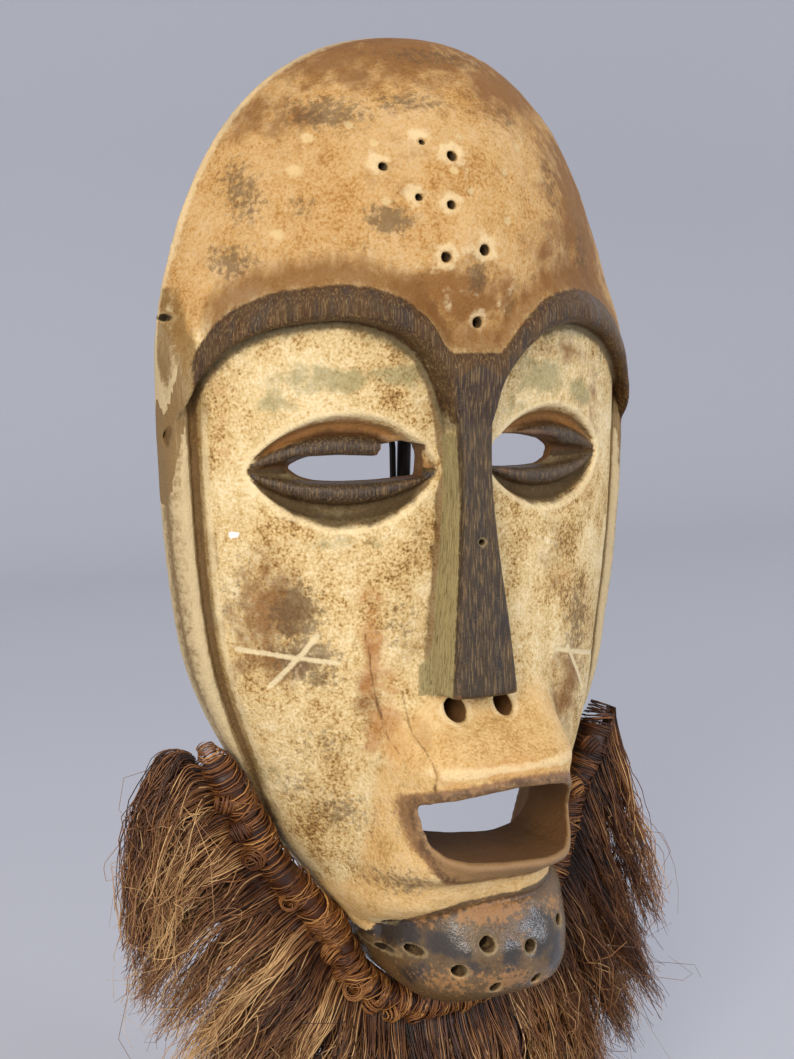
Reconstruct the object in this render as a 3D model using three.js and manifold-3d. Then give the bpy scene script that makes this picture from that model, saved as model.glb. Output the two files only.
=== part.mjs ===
// A carved wooden face mask with a fibre beard, held up by a steel rod stand.
// Millimetres, +Z up. The face looks toward -Y, its flat back rim lies in the plane y = 0,
// and the origin is on the underside of the stand's foot.
import * as THREE from "three";
import { mergeVertices } from "three/addons/utils/BufferGeometryUtils.js";
import Module from "manifold-3d";

const wasm = await Module();
wasm.setup();

// The mask's own heights are measured from just above its chin's underside, so it stands LIFT over the floor.
const LIFT = 132;

// The egg-shaped outline of the wood, and the smaller one of the hollow cut into its back.
const WOOD = { halfWidth: 107, top: 390, widest: 255, bottom: -10 };
const HOLLOW = { halfWidth: 86, top: 362, widest: 240, bottom: 12, depth: 45, behind: 5 };
const BEHIND_MUZZLE = { deeper: 27, x: 22, wide: 48, z: 72, high: 30 };
// How far the jaw and the chin are drawn in from the egg on each side, and round which heights.
const DRAWN_IN = [
  { width: 11, height: 62, spread: 44 },
  { width: 8, height: 22, spread: 24 },
];
// The carver's centre line drifts to one side down the face, and again at the chin.
const DRIFTS = [
  { side: 5, from: 150, to: 85 },
  { side: 9, from: 70, to: 24 },
];

// Stations up the mask: height, depth in front of the rim at the middle, and how full the section is.
const FOREHEAD = [
  [-10, 50, 2, 0.8],
  [150, 62, 2, 0.8],
  [200, 66, 2, 0.8],
  [262, 71, 2, 0.8],
  [300, 70, 2, 0.95],
  [330, 64, 2, 1],
  [352, 53, 2, 0.93],
  [368, 40, 2, 0.85],
  [380, 28, 2, 0.75],
  [386, 17.5, 2, 0.7],
  [389, 8, 2, 0.65],
  [390, 0, 2, 0.6],
];
const FACE = [
  [-10, 0, 2.6, 0.5],
  [-7, 18, 2.6, 0.5],
  [8, 44, 2.4, 0.55],
  [30, 56, 2.2, 0.65],
  [60, 59, 2, 0.75],
  [100, 61, 2, 0.8],
  [145, 61, 2, 0.78],
  [180, 60, 1.8, 0.7],
  [220, 60, 1.6, 0.65],
  [262, 63, 1.6, 0.65],
  [300, 64, 1.6, 0.65],
];
// Height, the height of the upright side wall, and the width of the temple band's ledge in front of it.
const SIDE = [
  [-10, 0, 0],
  [20, 6, 0],
  [60, 12, 0.6],
  [80, 14, 1.5],
  [110, 17, 6],
  [130, 18, 8],
  [150, 18, 9],
  [235, 17, 10],
  [250, 15, 9],
  [275, 8, 3],
  [292, 3, 0.6],
  [310, 0, 0],
  [390, 0, 0],
];
const WALL_ROUNDING = 3.5;
const TEMPLE_GROOVE = { depth: 2.2, width: 2.2 };

// The lower edge of the brows, from each temple to the root of the nose, and the raised band along it.
const BROW_OF_MASKS_RIGHT = [
  [-106, 215],
  [-103, 236],
  [-97, 253],
  [-86, 265.5],
  [-70, 272],
  [-52, 274],
  [-36, 270.5],
  [-24, 262],
  [-15, 247],
];
const BROW_OF_MASKS_LEFT = [
  [8, 247],
  [20, 263],
  [34, 271.5],
  [50, 274],
  [68, 271],
  [84, 262],
  [96, 249],
  [103, 232],
  [106, 215],
];
const BROW = {
  drop: 4,
  band: { at: 6.5, width: 8, rise: 3.4, fades: [107, 90] },
  groove: { at: 22, width: 7, depth: 1.8, fades: [95, 70] },
  startsOver: [190, 235],
  faceBelow: 200,
};

// The nose: height, middle, half-width and depth of its flat front.
const NOSE = [
  [131, -3, 14.5, 81],
  [160, -3.4, 11.5, 79],
  [190, -4, 8.2, 76.5],
  [215, -4.4, 6.8, 74.5],
  [235, -4.4, 7.6, 73],
  [250, -4, 10, 72],
  [264, -4, 17, 71],
  [280, -4, 22, 66],
];
const NOSE_FORM = { base: 131, root: 280, rows: 11, flare: 0.5, bevel: 0.9, crown: 0.8, sunk: 14 };

// The eyes: middle, half-length, the reach of the socket above and below, and the lids as parts of that reach.
const EYES = [
  { x: -47.5, z: 217.5, halfLength: 34.5, up: 22.5, down: 23.5, brokenFrom: -34.5 },
  { x: 42, z: 220.5, halfLength: 34, up: 21.5, down: 21.5 },
];
const SOCKET = { depth: 7, edge: 0.74, almond: 0.75 };
const LID = { at: 0.42, half: 0.19, rise: 2.6, ends: 0.965, steps: 16, sides: 6 };

// The muzzle and the chin are forms laid over the face: middle, half-width and depth by height.
const MUZZLE = {
  x: 4,
  halfWidth: 53,
  fullness: 4.4,
  blend: 9,
  rows: [
    [30, 40],
    [40, 62],
    [46, 70],
    [52, 72.5],
    [56, 75],
    [59.5, 82],
    [62.5, 86.5],
    [67, 88],
    [80, 88],
    [97, 88.5],
    [104, 90],
    [112, 82],
    [121, 72],
    [130, 65],
    [145, 57],
    [170, 40],
    [195, 0],
  ],
};
const CHIN = {
  x: 15,
  halfWidth: 46,
  fullness: 3,
  squareness: 0.55,
  blend: 1.5,
  rows: [
    [-10, 0],
    [-9, 16],
    [-6, 34],
    [-1.5, 52],
    [3, 63],
    [10, 70],
    [20, 75.5],
    [30, 77],
    [38, 76.5],
    [42, 75],
    [46, 68],
    [52, 50],
    [60, 20],
    [66, 0],
  ],
};

// Openings, each as its front outline (x and z of the corners), the depth at which it starts to close in
// toward the line drawnIn.x, and the depth where it ends.
const EYE_SLOTS = [
  {
    front: [
      [-75, 219],
      [-68, 224.5],
      [-52, 227],
      [-34.5, 226],
      [-34, 230],
      [-20, 230],
      [-16.5, 227],
      [-16, 215],
      [-40, 213.2],
      [-60, 213.4],
      [-70, 215],
    ],
    reach: { front: 90, skin: 40, back: 16 },
    drawnIn: { x: -17, factor: 0.7 },
  },
  {
    front: [
      [12, 216.5],
      [30, 215.5],
      [55, 216],
      [68, 218.5],
      [72.5, 222],
      [66, 227],
      [48, 230],
      [30, 230],
      [12, 227],
    ],
    reach: { front: 90, skin: 52, back: 34 },
    drawnIn: { x: 12, factor: 0.62 },
  },
];
const MOUTH = {
  front: [
    [-27, 72],
    [-24, 70],
    [-13.5, 68.8],
    [4, 66.3],
    [24, 65.7],
    [35, 67.5],
    [43, 74],
    [43.5, 90],
    [38, 97],
    [10, 99],
    [-22, 95.5],
    [-27.5, 92],
  ],
  reach: { front: 120, skin: 84, back: 20 },
  drawnIn: { x: -27, factor: 1 },
};
const NOSTRILS = { x: [-10.2, 11.2], z: 124.6, radius: 4.6, from: 74, to: 48 };

// Small bored holes, as x and z: the forehead's cluster and the row round the chin.
const FOREHEAD_HOLES = [
  [-19.2, 340.5],
  [-18.6, 332],
  [-24, 319.5],
  [-11.8, 317],
  [-15.3, 297.5],
  [-34.5, 331],
  [-47, 324],
  [-29, 346],
];
const CHIN_HOLES = [
  [-26.5, 34],
  [-25.5, 20],
  [-20.5, 24],
  [1.2, 29.5],
  [20, 26],
  [-9, 19],
  [5.8, 10.7],
  [25, 10.5],
  [38, 31.5],
];
const HOLE = { radius: 1.7, chinRadius: 2.1, depth: 6, sides: 6 };

// The beard: a wrapped cord laced round the jaw's edge, and the fall of fibre sewn to it.
const BEARD_TOPS = { right: 111, left: 106 };
const CORD = { gap: 8.2, forward: 12.5, halfThick: 7.2, halfWide: 10, swell: 0.09, sides: 8, steps: 48 };
const FIBRE = {
  from: 17.3,
  locks: 13,
  steps: 54,
  runs: 6,
  // How far a run of fibre goes straight out, out at its tip, up and down, at both tops and below.
  right: { out: 20, tipOut: 15, lift: 12, fall: 73 },
  left: { out: 1, tipOut: 20, lift: -22, fall: 84 },
  below: { out: 12, tipOut: 9, lift: 0, fall: 76 },
  middle: 12,
  middleBelow: 19,
  rootHalf: 13,
  fullHalf: 18,
  tipHalf: 5,
  flute: 3.4,
  tipFlute: 9,
  rodGap: { rise: 9, spread: 13 },
};

// The stand: a foot plate, a leaning post and a thin prong that splits off it behind the nose.
const FOOT = { width: 180, depth: 150, thick: 8, corner: 10, middleY: -14 };
const POST = { radius: 2.9, atChin: 4, atEyes: -6, chinHeight: 10, eyesHeight: 216, sides: 12 };
const PRONG = { radius: 1.4, start: 186, split: 215, bend: 32, bendOut: 5, tipX: -27, steps: 9, sides: 8 };
const GAP = 0.3;
// How far a flat triangle may stand off the carved surface, and how far a carved edge draws a height in.
const BEND = { outside: 1.06, inside: 2 };
const EDGE_REACH = 1.3;

const clamp = (v, low, high) => Math.min(high, Math.max(low, v));
const bell = (v, width) => Math.exp(-((v / width) ** 2));

// 0 before a, 1 after b, with a soft start and end.
function ease(a, b, v) {
  const t = clamp((v - a) / (b - a), 0, 1);
  return t * t * (3 - 2 * t);
}

// The values of a list of stations at a height, along a smooth curve that never overshoots them.
function slopesOf(rows, k) {
  const chord = (i) => (rows[i + 1][k] - rows[i][k]) / (rows[i + 1][0] - rows[i][0]);
  return rows.map((_, i) => {
    if (i === 0) return chord(0);
    if (i === rows.length - 1) return chord(i - 1);
    const before = chord(i - 1);
    const after = chord(i);
    return before * after <= 0 ? 0 : (2 * before * after) / (before + after);
  });
}

function stations(rows) {
  const columns = rows[0].slice(1).map((_, k) => slopesOf(rows, k + 1));
  return (height) => {
    let i = 0;
    while (i < rows.length - 2 && height > rows[i + 1][0]) i++;
    const step = rows[i + 1][0] - rows[i][0];
    const t = clamp((height - rows[i][0]) / step, 0, 1);
    return columns.map((slopes, k) => {
      const start = rows[i][k + 1];
      const end = rows[i + 1][k + 1];
      return (
        (2 * t ** 3 - 3 * t ** 2 + 1) * start +
        (t ** 3 - 2 * t ** 2 + t) * step * slopes[i] +
        (3 * t ** 2 - 2 * t ** 3) * end +
        (t ** 3 - t ** 2) * step * slopes[i + 1]
      );
    });
  };
}

const foreheadAt = stations(FOREHEAD);
const faceAt = stations(FACE);
const sideAt = stations(SIDE);
const noseAt = stations(NOSE);
const muzzleAt = stations(MUZZLE.rows);
const chinAt = stations(CHIN.rows);
const browRightAt = stations(BROW_OF_MASKS_RIGHT);
const browLeftAt = stations(BROW_OF_MASKS_LEFT);

// Half the width of an egg-shaped outline at a height.
function eggHalfWidth(egg, z) {
  const up = clamp((z - egg.widest) / (egg.top - egg.widest), 0, 1);
  const down = clamp((egg.widest - z) / (egg.widest - egg.bottom), 0, 1);
  if (z >= egg.widest) return egg.halfWidth * (1 - up ** 2.15) ** (1 / 2.15);
  return egg.halfWidth * Math.sqrt(1 - down ** 2.2);
}

function woodHalfWidth(z) {
  const down = clamp((WOOD.widest - z) / (WOOD.widest - WOOD.bottom), 0, 1);
  const drawnIn = DRAWN_IN.reduce((sum, at) => sum + at.width * bell(z - at.height, at.spread), 0);
  return eggHalfWidth(WOOD, z) - (z < WOOD.widest ? drawnIn * (1 - down ** 12) : 0);
}

const lean = (z) => DRIFTS.reduce((sum, drift) => sum + drift.side * ease(drift.from, drift.to, z), 0);

// A plain cross-section: an upright side wall, the temple ledge with its groove, and the crown in front.
function section(x, z, at, ledgeShare) {
  const [depth, power, square] = at(z);
  const [wallHeight, ledge] = sideAt(z);
  const reach = Math.abs(x - lean(z));
  const half = woodHalfWidth(z);
  const inner = half - ledge * ledgeShare;
  const wallDepth = Math.min(wallHeight, depth);
  const rim = clamp((half - reach) / WALL_ROUNDING, 0, 1);
  const wall = wallDepth * Math.sqrt(1 - (1 - rim) ** 2);
  const across = clamp(reach / Math.max(inner, 1e-6), 0, 1);
  const crown = (depth - wallDepth) * (1 - across ** power) ** square;
  const groove =
    TEMPLE_GROOVE.depth * bell(reach - inner, TEMPLE_GROOVE.width) * ledgeShare * ease(0, 4, ledge);
  return wall + crown - groove;
}

const browEdge = (x) =>
  x < -4 ? browRightAt(clamp(x, -106, -15))[0] : browLeftAt(clamp(x, 8, 106))[0];

// The larger of two depths, with a soft join as wide as blend.
function softMax(a, b, blend) {
  const t = clamp(0.5 + (0.5 * (b - a)) / blend, 0, 1);
  const fillet = b > 0 ? clamp(Math.min(a, b) / 8, 0, 1) : 0;
  return a + (b - a) * t + blend * t * (1 - t) * fillet;
}

function withMuzzle(base, x, z) {
  const across = Math.abs(x - MUZZLE.x) / MUZZLE.halfWidth;
  const form = muzzleAt(z)[0] * clamp(1 - across ** MUZZLE.fullness, 0, 1);
  return z < MUZZLE.rows.at(-1)[0] ? softMax(base, form, MUZZLE.blend) : base;
}

function withChin(base, x, z) {
  const across = Math.abs(x - CHIN.x) / CHIN.halfWidth;
  const form = chinAt(z)[0] * clamp(1 - across ** CHIN.fullness, 0, 1) ** CHIN.squareness;
  return z < CHIN.rows.at(-1)[0] ? softMax(base, form, CHIN.blend) : base;
}

// How much of the half-length, and of the reach up or down, an eye takes at a point.
function inSocket(eye, x, z) {
  const along = clamp(Math.abs(x - eye.x) / eye.halfLength, 0, 1);
  const lens = (1 - along ** 2) ** SOCKET.almond;
  const reach = (z > eye.z ? eye.up : eye.down) * lens;
  return { lens, away: reach > 0 ? Math.abs(z - eye.z) / reach : 1 };
}

// An almond socket sunk into the face round each eye.
function withSocket(base, x, z, eye) {
  const { lens, away } = inSocket(eye, x, z);
  return base - SOCKET.depth * ease(1, SOCKET.edge, away) * lens ** 0.4;
}

// How far the carved surface stands in front of the rim's plane.
function carvedDepth(x, z) {
  const fore = section(x, z, foreheadAt, 0);
  const face = section(x, z, faceAt, 1);
  const edge = browEdge(x);
  const inFace = z < BROW.faceBelow ? 1 : ease(BROW.drop / 2, -BROW.drop / 2, z - edge);
  const { band, groove } = BROW;
  const raised = bell(z - edge - band.at, band.width) * band.rise * ease(...band.fades, Math.abs(x));
  const sunk = bell(z - edge - groove.at, groove.width) * groove.depth * ease(...groove.fades, Math.abs(x));
  let depth = fore + (face - fore) * inFace + (raised - sunk) * ease(...BROW.startsOver, z);
  depth = withMuzzle(depth, x, z);
  depth = withChin(depth, x, z);
  for (const eye of EYES) depth = withSocket(depth, x, z, eye);
  return Math.max(depth, 0);
}

// Moves a height onto the nearest carved edge within reach, so that the edges stay clean.
function onCarvedEdge(x, z) {
  const edge = browEdge(x);
  const edges = [edge - BROW.drop / 2, edge + BROW.drop / 2];
  for (const eye of EYES) {
    const { lens } = inSocket(eye, x, z);
    for (const part of lens > 0.1 ? [1, SOCKET.edge] : []) {
      edges.push(eye.z + eye.up * lens * part, eye.z - eye.down * lens * part);
    }
  }
  return edges.find((height) => Math.abs(height - z) < EDGE_REACH) ?? z;
}

function hollowDepth(x, z) {
  const half = eggHalfWidth(HOLLOW, z);
  const rise = z > HOLLOW.widest ? HOLLOW.top - HOLLOW.widest : HOLLOW.widest - HOLLOW.bottom;
  const up = Math.abs(z - HOLLOW.widest) / rise;
  const across = half > 0 ? clamp(Math.abs(x - lean(z)) / half, 0, 1) : 0;
  const out = clamp(up ** 2.4 + across ** 2.4 * (1 - up ** 2.4), 0, 1);
  const { deeper, wide, high } = BEHIND_MUZZLE;
  const more = deeper * bell(x - BEHIND_MUZZLE.x, wide) * bell(z - BEHIND_MUZZLE.z, high);
  return -HOLLOW.behind + (HOLLOW.depth + HOLLOW.behind + more) * (1 - out) ** 0.5;
}

// Puts the square grid of s and t, each -1 to 1, on an egg-shaped outline, closer together near its edge.
function onEgg(egg, halfWidthAt, middleAt, s, t) {
  const spread = (v) => 0.6 * v + 0.4 * Math.sin((Math.PI * v) / 2);
  const a = spread(s);
  const c = spread(t);
  const u = a * Math.sqrt(1 - (c * c) / 2);
  const v = clamp(c * Math.sqrt(1 - (a * a) / 2), -1, 1);
  const z = egg.widest + v * (v >= 0 ? egg.top - egg.widest : egg.widest - egg.bottom);
  const across = clamp(u / Math.sqrt(Math.max(1 - v * v, 1e-9)), -1, 1);
  return [middleAt(z) + halfWidthAt(z) * across, z];
}

// Triangles over a square of cells by cells (a power of two), halved again wherever the surface bends
// more than the tolerance away from the triangle's plane. Each call of place gives a point of the surface.
function bentTriangles(cells, place, tolerance) {
  const size = cells + 1;
  const points = Array.from({ length: size * size }, (_, i) => {
    return place(((i % size) / cells) * 2 - 1, (Math.floor(i / size) / cells) * 2 - 1);
  });
  const bend = new Float64Array(size * size);
  const count = cells * cells * 2 - 2;
  const corners = (id) => {
    let [ax, ay, bx, by, cx, cy] = id & 1 ? [0, 0, cells, cells, cells, 0] : [cells, cells, 0, 0, 0, cells];
    for (let rest = id >> 1; rest > 1; rest >>= 1) {
      const mx = (ax + bx) >> 1;
      const my = (ay + by) >> 1;
      if (rest & 1) [bx, by, ax, ay] = [ax, ay, cx, cy];
      else [ax, ay, bx, by] = [bx, by, cx, cy];
      [cx, cy] = [mx, my];
    }
    return [ax, ay, bx, by, cx, cy];
  };
  const onBorder = (x, y) => x === 0 || y === 0 || x === cells || y === cells;
  const plane = new THREE.Plane();
  const halfway = new THREE.Vector3();
  for (let i = count - 1; i >= 0; i--) {
    const [ax, ay, bx, by, cx, cy] = corners(i + 2);
    const mx = (ax + bx) >> 1;
    const my = (ay + by) >> 1;
    const middle = my * size + mx;
    const a = points[ay * size + ax];
    const b = points[by * size + bx];
    plane.setFromCoplanarPoints(a, b, points[cy * size + cx]);
    halfway.lerpVectors(a, b, 0.5);
    const off = onBorder(mx, my)
      ? points[middle].distanceTo(halfway)
      : Math.abs(plane.distanceToPoint(points[middle]));
    bend[middle] = Math.max(bend[middle], off || 0);
    if (i < count - cells * cells) {
      const left = ((ay + cy) >> 1) * size + ((ax + cx) >> 1);
      const right = ((by + cy) >> 1) * size + ((bx + cx) >> 1);
      bend[middle] = Math.max(bend[middle], bend[left], bend[right]);
    }
  }
  const triangles = [];
  const split = (ax, ay, bx, by, cx, cy) => {
    const mx = (ax + bx) >> 1;
    const my = (ay + by) >> 1;
    if (Math.abs(ax - cx) + Math.abs(ay - cy) > 1 && bend[my * size + mx] > tolerance) {
      split(cx, cy, ax, ay, mx, my);
      split(bx, by, cx, cy, mx, my);
    } else triangles.push([ay * size + ax, by * size + bx, cy * size + cx]);
  };
  split(0, 0, cells, cells, cells, 0);
  split(cells, cells, 0, 0, 0, cells);
  return { points, triangles, size };
}

// A closed body of such a surface and a flat back through its border.
function domeSolid(cells, place, tolerance, backMiddle) {
  const { points, triangles, size } = bentTriangles(cells, place, tolerance);
  const positions = [];
  const put = (p) => positions.push(p.x, p.y, p.z);
  const edges = new Map();
  for (const tri of triangles) {
    tri.forEach((corner) => put(points[corner]));
    tri.forEach((from, k) => {
      const to = tri[(k + 1) % 3];
      if (!edges.delete(to * size * size + from)) edges.set(from * size * size + to, [from, to]);
    });
  }
  for (const [from, to] of edges.values()) {
    put(points[to]);
    put(points[from]);
    put(backMiddle);
  }
  const geometry = new THREE.BufferGeometry();
  geometry.setAttribute("position", new THREE.Float32BufferAttribute(positions, 3));
  return solid(geometry);
}

// A solid that can be cut and joined, from three.js geometry, with its faces turned outward.
function solid(geometry) {
  const bare = geometry.clone();
  bare.deleteAttribute("normal");
  bare.deleteAttribute("uv");
  const merged = mergeVertices(bare, 1e-4);
  const index = merged.index.array;
  const made = (turned) => {
    const triVerts = [];
    for (let i = 0; i < index.length; i += 3) {
      const [a, b, c] = index.slice(i, i + 3);
      if (a !== b && b !== c && c !== a) triVerts.push(a, turned ? c : b, turned ? b : c);
    }
    return new wasm.Manifold(
      new wasm.Mesh({
        numProp: 3,
        vertProperties: merged.attributes.position.array,
        triVerts: new Uint32Array(triVerts),
      }),
    );
  };
  const body = made(false);
  return body.volume() < 0 ? made(true) : body;
}

function geometryOf(body) {
  const { vertProperties, triVerts } = body.getMesh();
  const geometry = new THREE.BufferGeometry();
  geometry.setAttribute("position", new THREE.Float32BufferAttribute(vertProperties, 3));
  geometry.setIndex(Array.from(triVerts));
  const faceted = geometry.toNonIndexed();
  faceted.computeVertexNormals();
  return faceted;
}

// A prism along Y between two copies of an outline of x and z, the back one drawn in toward a line.
function taperedCut({ front, reach, drawnIn }) {
  const shape = new THREE.Shape(front.map(([x, z]) => new THREE.Vector2(x, z)));
  const geometry = new THREE.ExtrudeGeometry(shape, {
    depth: reach.front - reach.back,
    bevelEnabled: false,
    steps: 2,
  });
  geometry.rotateX(Math.PI / 2);
  geometry.translate(0, -reach.back, 0);
  const position = geometry.attributes.position;
  const middle = (reach.front + reach.back) / 2;
  for (let i = 0; i < position.count; i++) {
    const forward = -position.getY(i);
    if (Math.abs(forward - middle) < 1e-3) position.setY(i, -reach.skin);
    else if (forward < middle) {
      const x = position.getX(i);
      position.setX(i, drawnIn.x + (x - drawnIn.x) * drawnIn.factor);
    }
  }
  return solid(geometry);
}

function bore(x, z, radius, from, to, sides) {
  const geometry = new THREE.CylinderGeometry(radius, radius, from - to, sides);
  geometry.translate(x, -(from + to) / 2, z);
  return solid(geometry);
}

// The nose: a long bar with a flat front, square below and widest there.
function noseSolid() {
  const rings = [];
  for (let i = 0; i <= NOSE_FORM.rows; i++) {
    const z = NOSE_FORM.base + ((NOSE_FORM.root - NOSE_FORM.base) * i) / NOSE_FORM.rows;
    const [middle, half, front] = noseAt(z);
    const back = Math.min(carvedDepth(middle - half, z), carvedDepth(middle + half, z)) - NOSE_FORM.sunk / 2;
    const { flare, bevel, crown } = NOSE_FORM;
    const section = [
      [-half - flare, back],
      [-half, front - 2 * bevel],
      [-half + bevel, front - bevel * 0.6],
      [0, front + crown - bevel],
      [half - bevel, front - bevel * 0.6],
      [half, front - 2 * bevel],
      [half + flare, back],
    ];
    rings.push(section.map(([x, depth]) => new THREE.Vector3(middle + x, -depth, z)));
  }
  return loftSolid(rings);
}

// A lid: a round ridge that follows the almond between the slot and the socket's floor.
function lidSolid(eye, upper) {
  const rings = [];
  const from = -LID.ends;
  const broken = upper && eye.brokenFrom !== undefined;
  const to = broken ? (eye.brokenFrom - eye.x) / eye.halfLength : LID.ends;
  for (let i = 0; i <= LID.steps; i++) {
    const along = from + ((to - from) * i) / LID.steps;
    const lens = (1 - along ** 2) ** SOCKET.almond;
    const reach = (upper ? eye.up : -eye.down) * lens;
    const x = eye.x + along * eye.halfLength;
    const z = eye.z + reach * LID.at;
    const half = Math.abs(reach) * LID.half + 0.5;
    const depth = carvedDepth(x, z) - half * 0.5 + LID.rise * lens ** 0.5;
    const ring = [];
    for (let j = 0; j < LID.sides; j++) {
      const angle = (j / LID.sides) * 2 * Math.PI;
      ring.push(new THREE.Vector3(x, -depth - Math.cos(angle) * half * 1.2, z + Math.sin(angle) * half));
    }
    rings.push(ring);
  }
  return loftSolid(rings);
}

function makeMask() {
  const outside = (s, t) => {
    const [x, even] = onEgg(WOOD, woodHalfWidth, lean, s, t);
    const border = Math.max(Math.abs(s), Math.abs(t)) === 1;
    const z = border ? even : onCarvedEdge(x, even);
    return new THREE.Vector3(x, border ? 0 : -Math.max(carvedDepth(x, z), 0.05), z);
  };
  const inside = (s, t) => {
    const [x, z] = onEgg(HOLLOW, (h) => eggHalfWidth(HOLLOW, h), lean, s, t);
    const border = Math.max(Math.abs(s), Math.abs(t)) === 1;
    return new THREE.Vector3(x, border ? HOLLOW.behind : -hollowDepth(x, z), z);
  };
  let mask = domeSolid(128, outside, BEND.outside, new THREE.Vector3(0, 0, WOOD.widest));
  const hollow = domeSolid(32, inside, BEND.inside, new THREE.Vector3(0, HOLLOW.behind, HOLLOW.widest));
  mask = mask.add(noseSolid());
  for (const eye of EYES) mask = mask.add(lidSolid(eye, true)).add(lidSolid(eye, false));
  mask = mask.subtract(hollow);
  for (const opening of [...EYE_SLOTS, MOUTH]) mask = mask.subtract(taperedCut(opening));
  for (const x of NOSTRILS.x) {
    mask = mask.subtract(bore(x, NOSTRILS.z, NOSTRILS.radius, NOSTRILS.from, NOSTRILS.to, 8));
  }
  const drilled = [
    ...FOREHEAD_HOLES.map(([x, z]) => [x, z, HOLE.radius]),
    ...CHIN_HOLES.map(([x, z]) => [x, z, HOLE.chinRadius]),
  ];
  for (const [x, z, radius] of drilled) {
    const skin = carvedDepth(x, z);
    mask = mask.subtract(bore(x, z, radius, skin + HOLE.depth, skin - HOLE.depth, HOLE.sides));
  }
  return mask;
}

// A point of the jaw's edge, 0 at the top of the beard on the mask's right to 1 on its left,
// with the direction straight out from the wood.
function jawEdge(share) {
  const height = (angle) => WOOD.widest - (WOOD.widest - WOOD.bottom) * Math.sin(angle) ** (1 / 1.1);
  const angleAt = (z) => Math.asin(((WOOD.widest - z) / (WOOD.widest - WOOD.bottom)) ** 1.1);
  const start = angleAt(BEARD_TOPS.right);
  const end = Math.PI - angleAt(BEARD_TOPS.left);
  const point = (angle) => {
    const z = height(angle);
    return new THREE.Vector3(lean(z) - Math.sign(Math.cos(angle)) * woodHalfWidth(z), 0, z);
  };
  const angle = start + (end - start) * share;
  const step = 0.01;
  const along = point(angle + step).sub(point(angle - step)).normalize();
  return { at: point(angle), along, out: new THREE.Vector3(along.z, 0, -along.x) };
}

// A closed body over rings of points: each ring runs round the section, and the ends are capped.
function loftSolid(rings) {
  const sides = rings[0].length;
  const positions = [];
  const put = (...corners) => corners.forEach((p) => positions.push(p.x, p.y, p.z));
  for (let i = 0; i + 1 < rings.length; i++) {
    for (let j = 0; j < sides; j++) {
      const k = (j + 1) % sides;
      put(rings[i][j], rings[i][k], rings[i + 1][k]);
      put(rings[i][j], rings[i + 1][k], rings[i + 1][j]);
    }
  }
  const cap = (ring, turned) => {
    const middle = ring.reduce((sum, p) => sum.add(p), new THREE.Vector3()).divideScalar(sides);
    ring.forEach((p, j) => {
      const next = ring[(j + 1) % sides];
      if (turned) put(middle, next, p);
      else put(middle, p, next);
    });
  };
  cap(rings[0], true);
  cap(rings.at(-1), false);
  const geometry = new THREE.BufferGeometry();
  geometry.setAttribute("position", new THREE.Float32BufferAttribute(positions, 3));
  return solid(geometry);
}

function makeCord() {
  const rings = [];
  for (let i = 0; i <= CORD.steps; i++) {
    const share = i / CORD.steps;
    const { at, out } = jawEdge(share);
    const swell = 1 + Math.sin(i * 2.1) * CORD.swell;
    const close = ease(0, 0.03, share) * ease(1, 0.97, share);
    const size = (0.55 + 0.45 * close) * swell;
    const ring = [];
    for (let j = 0; j < CORD.sides; j++) {
      const angle = (j / CORD.sides) * 2 * Math.PI;
      const off = CORD.gap + Math.cos(angle) * CORD.halfThick * size;
      const forward = CORD.forward + Math.sin(angle) * CORD.halfWide * size;
      ring.push(new THREE.Vector3(at.x + out.x * off, -forward, at.z + out.z * off));
    }
    rings.push(ring);
  }
  return loftSolid(rings);
}

// One run of fibre from the cord to its tip: it arches up at the mask's right and hangs at its left.
function fibrePoint(share, run, fluted) {
  const { at, out } = jawEdge(share);
  const below = Math.sin(Math.PI * share) ** 1.2;
  const top = share < 0.5 ? FIBRE.right : FIBRE.left;
  const mixed = (key) => top[key] + (FIBRE.below[key] - top[key]) * below;
  const root = at.clone().addScaledVector(out, FIBRE.from);
  const bent = root.clone().addScaledVector(out, mixed("out"));
  bent.z += mixed("lift");
  const tip = root.clone().addScaledVector(out, mixed("tipOut"));
  tip.z -= mixed("fall") + fluted * FIBRE.tipFlute;
  return new THREE.QuadraticBezierCurve3(root, bent, tip).getPoint(run);
}

function makeFibre() {
  const rings = [];
  for (let i = 0; i <= FIBRE.steps; i++) {
    const share = i / FIBRE.steps;
    const turn = share * FIBRE.locks * 2 * Math.PI;
    const fluted = 0.65 * Math.cos(turn) + 0.35 * Math.cos(turn * 1.7 + 1);
    const front = [];
    const back = [];
    for (let j = 0; j <= FIBRE.runs; j++) {
      const run = j / FIBRE.runs;
      const p = fibrePoint(share, run, fluted);
      const swell = ease(0, 0.35, run);
      const half =
        FIBRE.rootHalf +
        (FIBRE.fullHalf - FIBRE.rootHalf) * swell -
        (FIBRE.fullHalf - FIBRE.tipHalf) * ease(0.55, 1, run) +
        FIBRE.flute * fluted * swell;
      const close = 0.4 + 0.6 * ease(0, 0.05, share) * ease(1, 0.95, share);
      const middle = FIBRE.middle + (FIBRE.middleBelow - FIBRE.middle) * Math.sin(Math.PI * share) ** 2;
      const rodGap = FIBRE.rodGap.rise * bell(p.x, FIBRE.rodGap.spread) * swell;
      front.push(new THREE.Vector3(p.x, -(middle + half * close), p.z));
      back.push(new THREE.Vector3(p.x, -(middle - half * close + rodGap), p.z));
    }
    rings.push([...front, ...back.reverse()]);
  }
  return loftSolid(rings);
}

// How far forward the post's middle is at a height of the mask.
function postForward(z) {
  const share = (z - POST.chinHeight) / (POST.eyesHeight - POST.chinHeight);
  return -(POST.atChin + (POST.atEyes - POST.atChin) * share);
}

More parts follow.
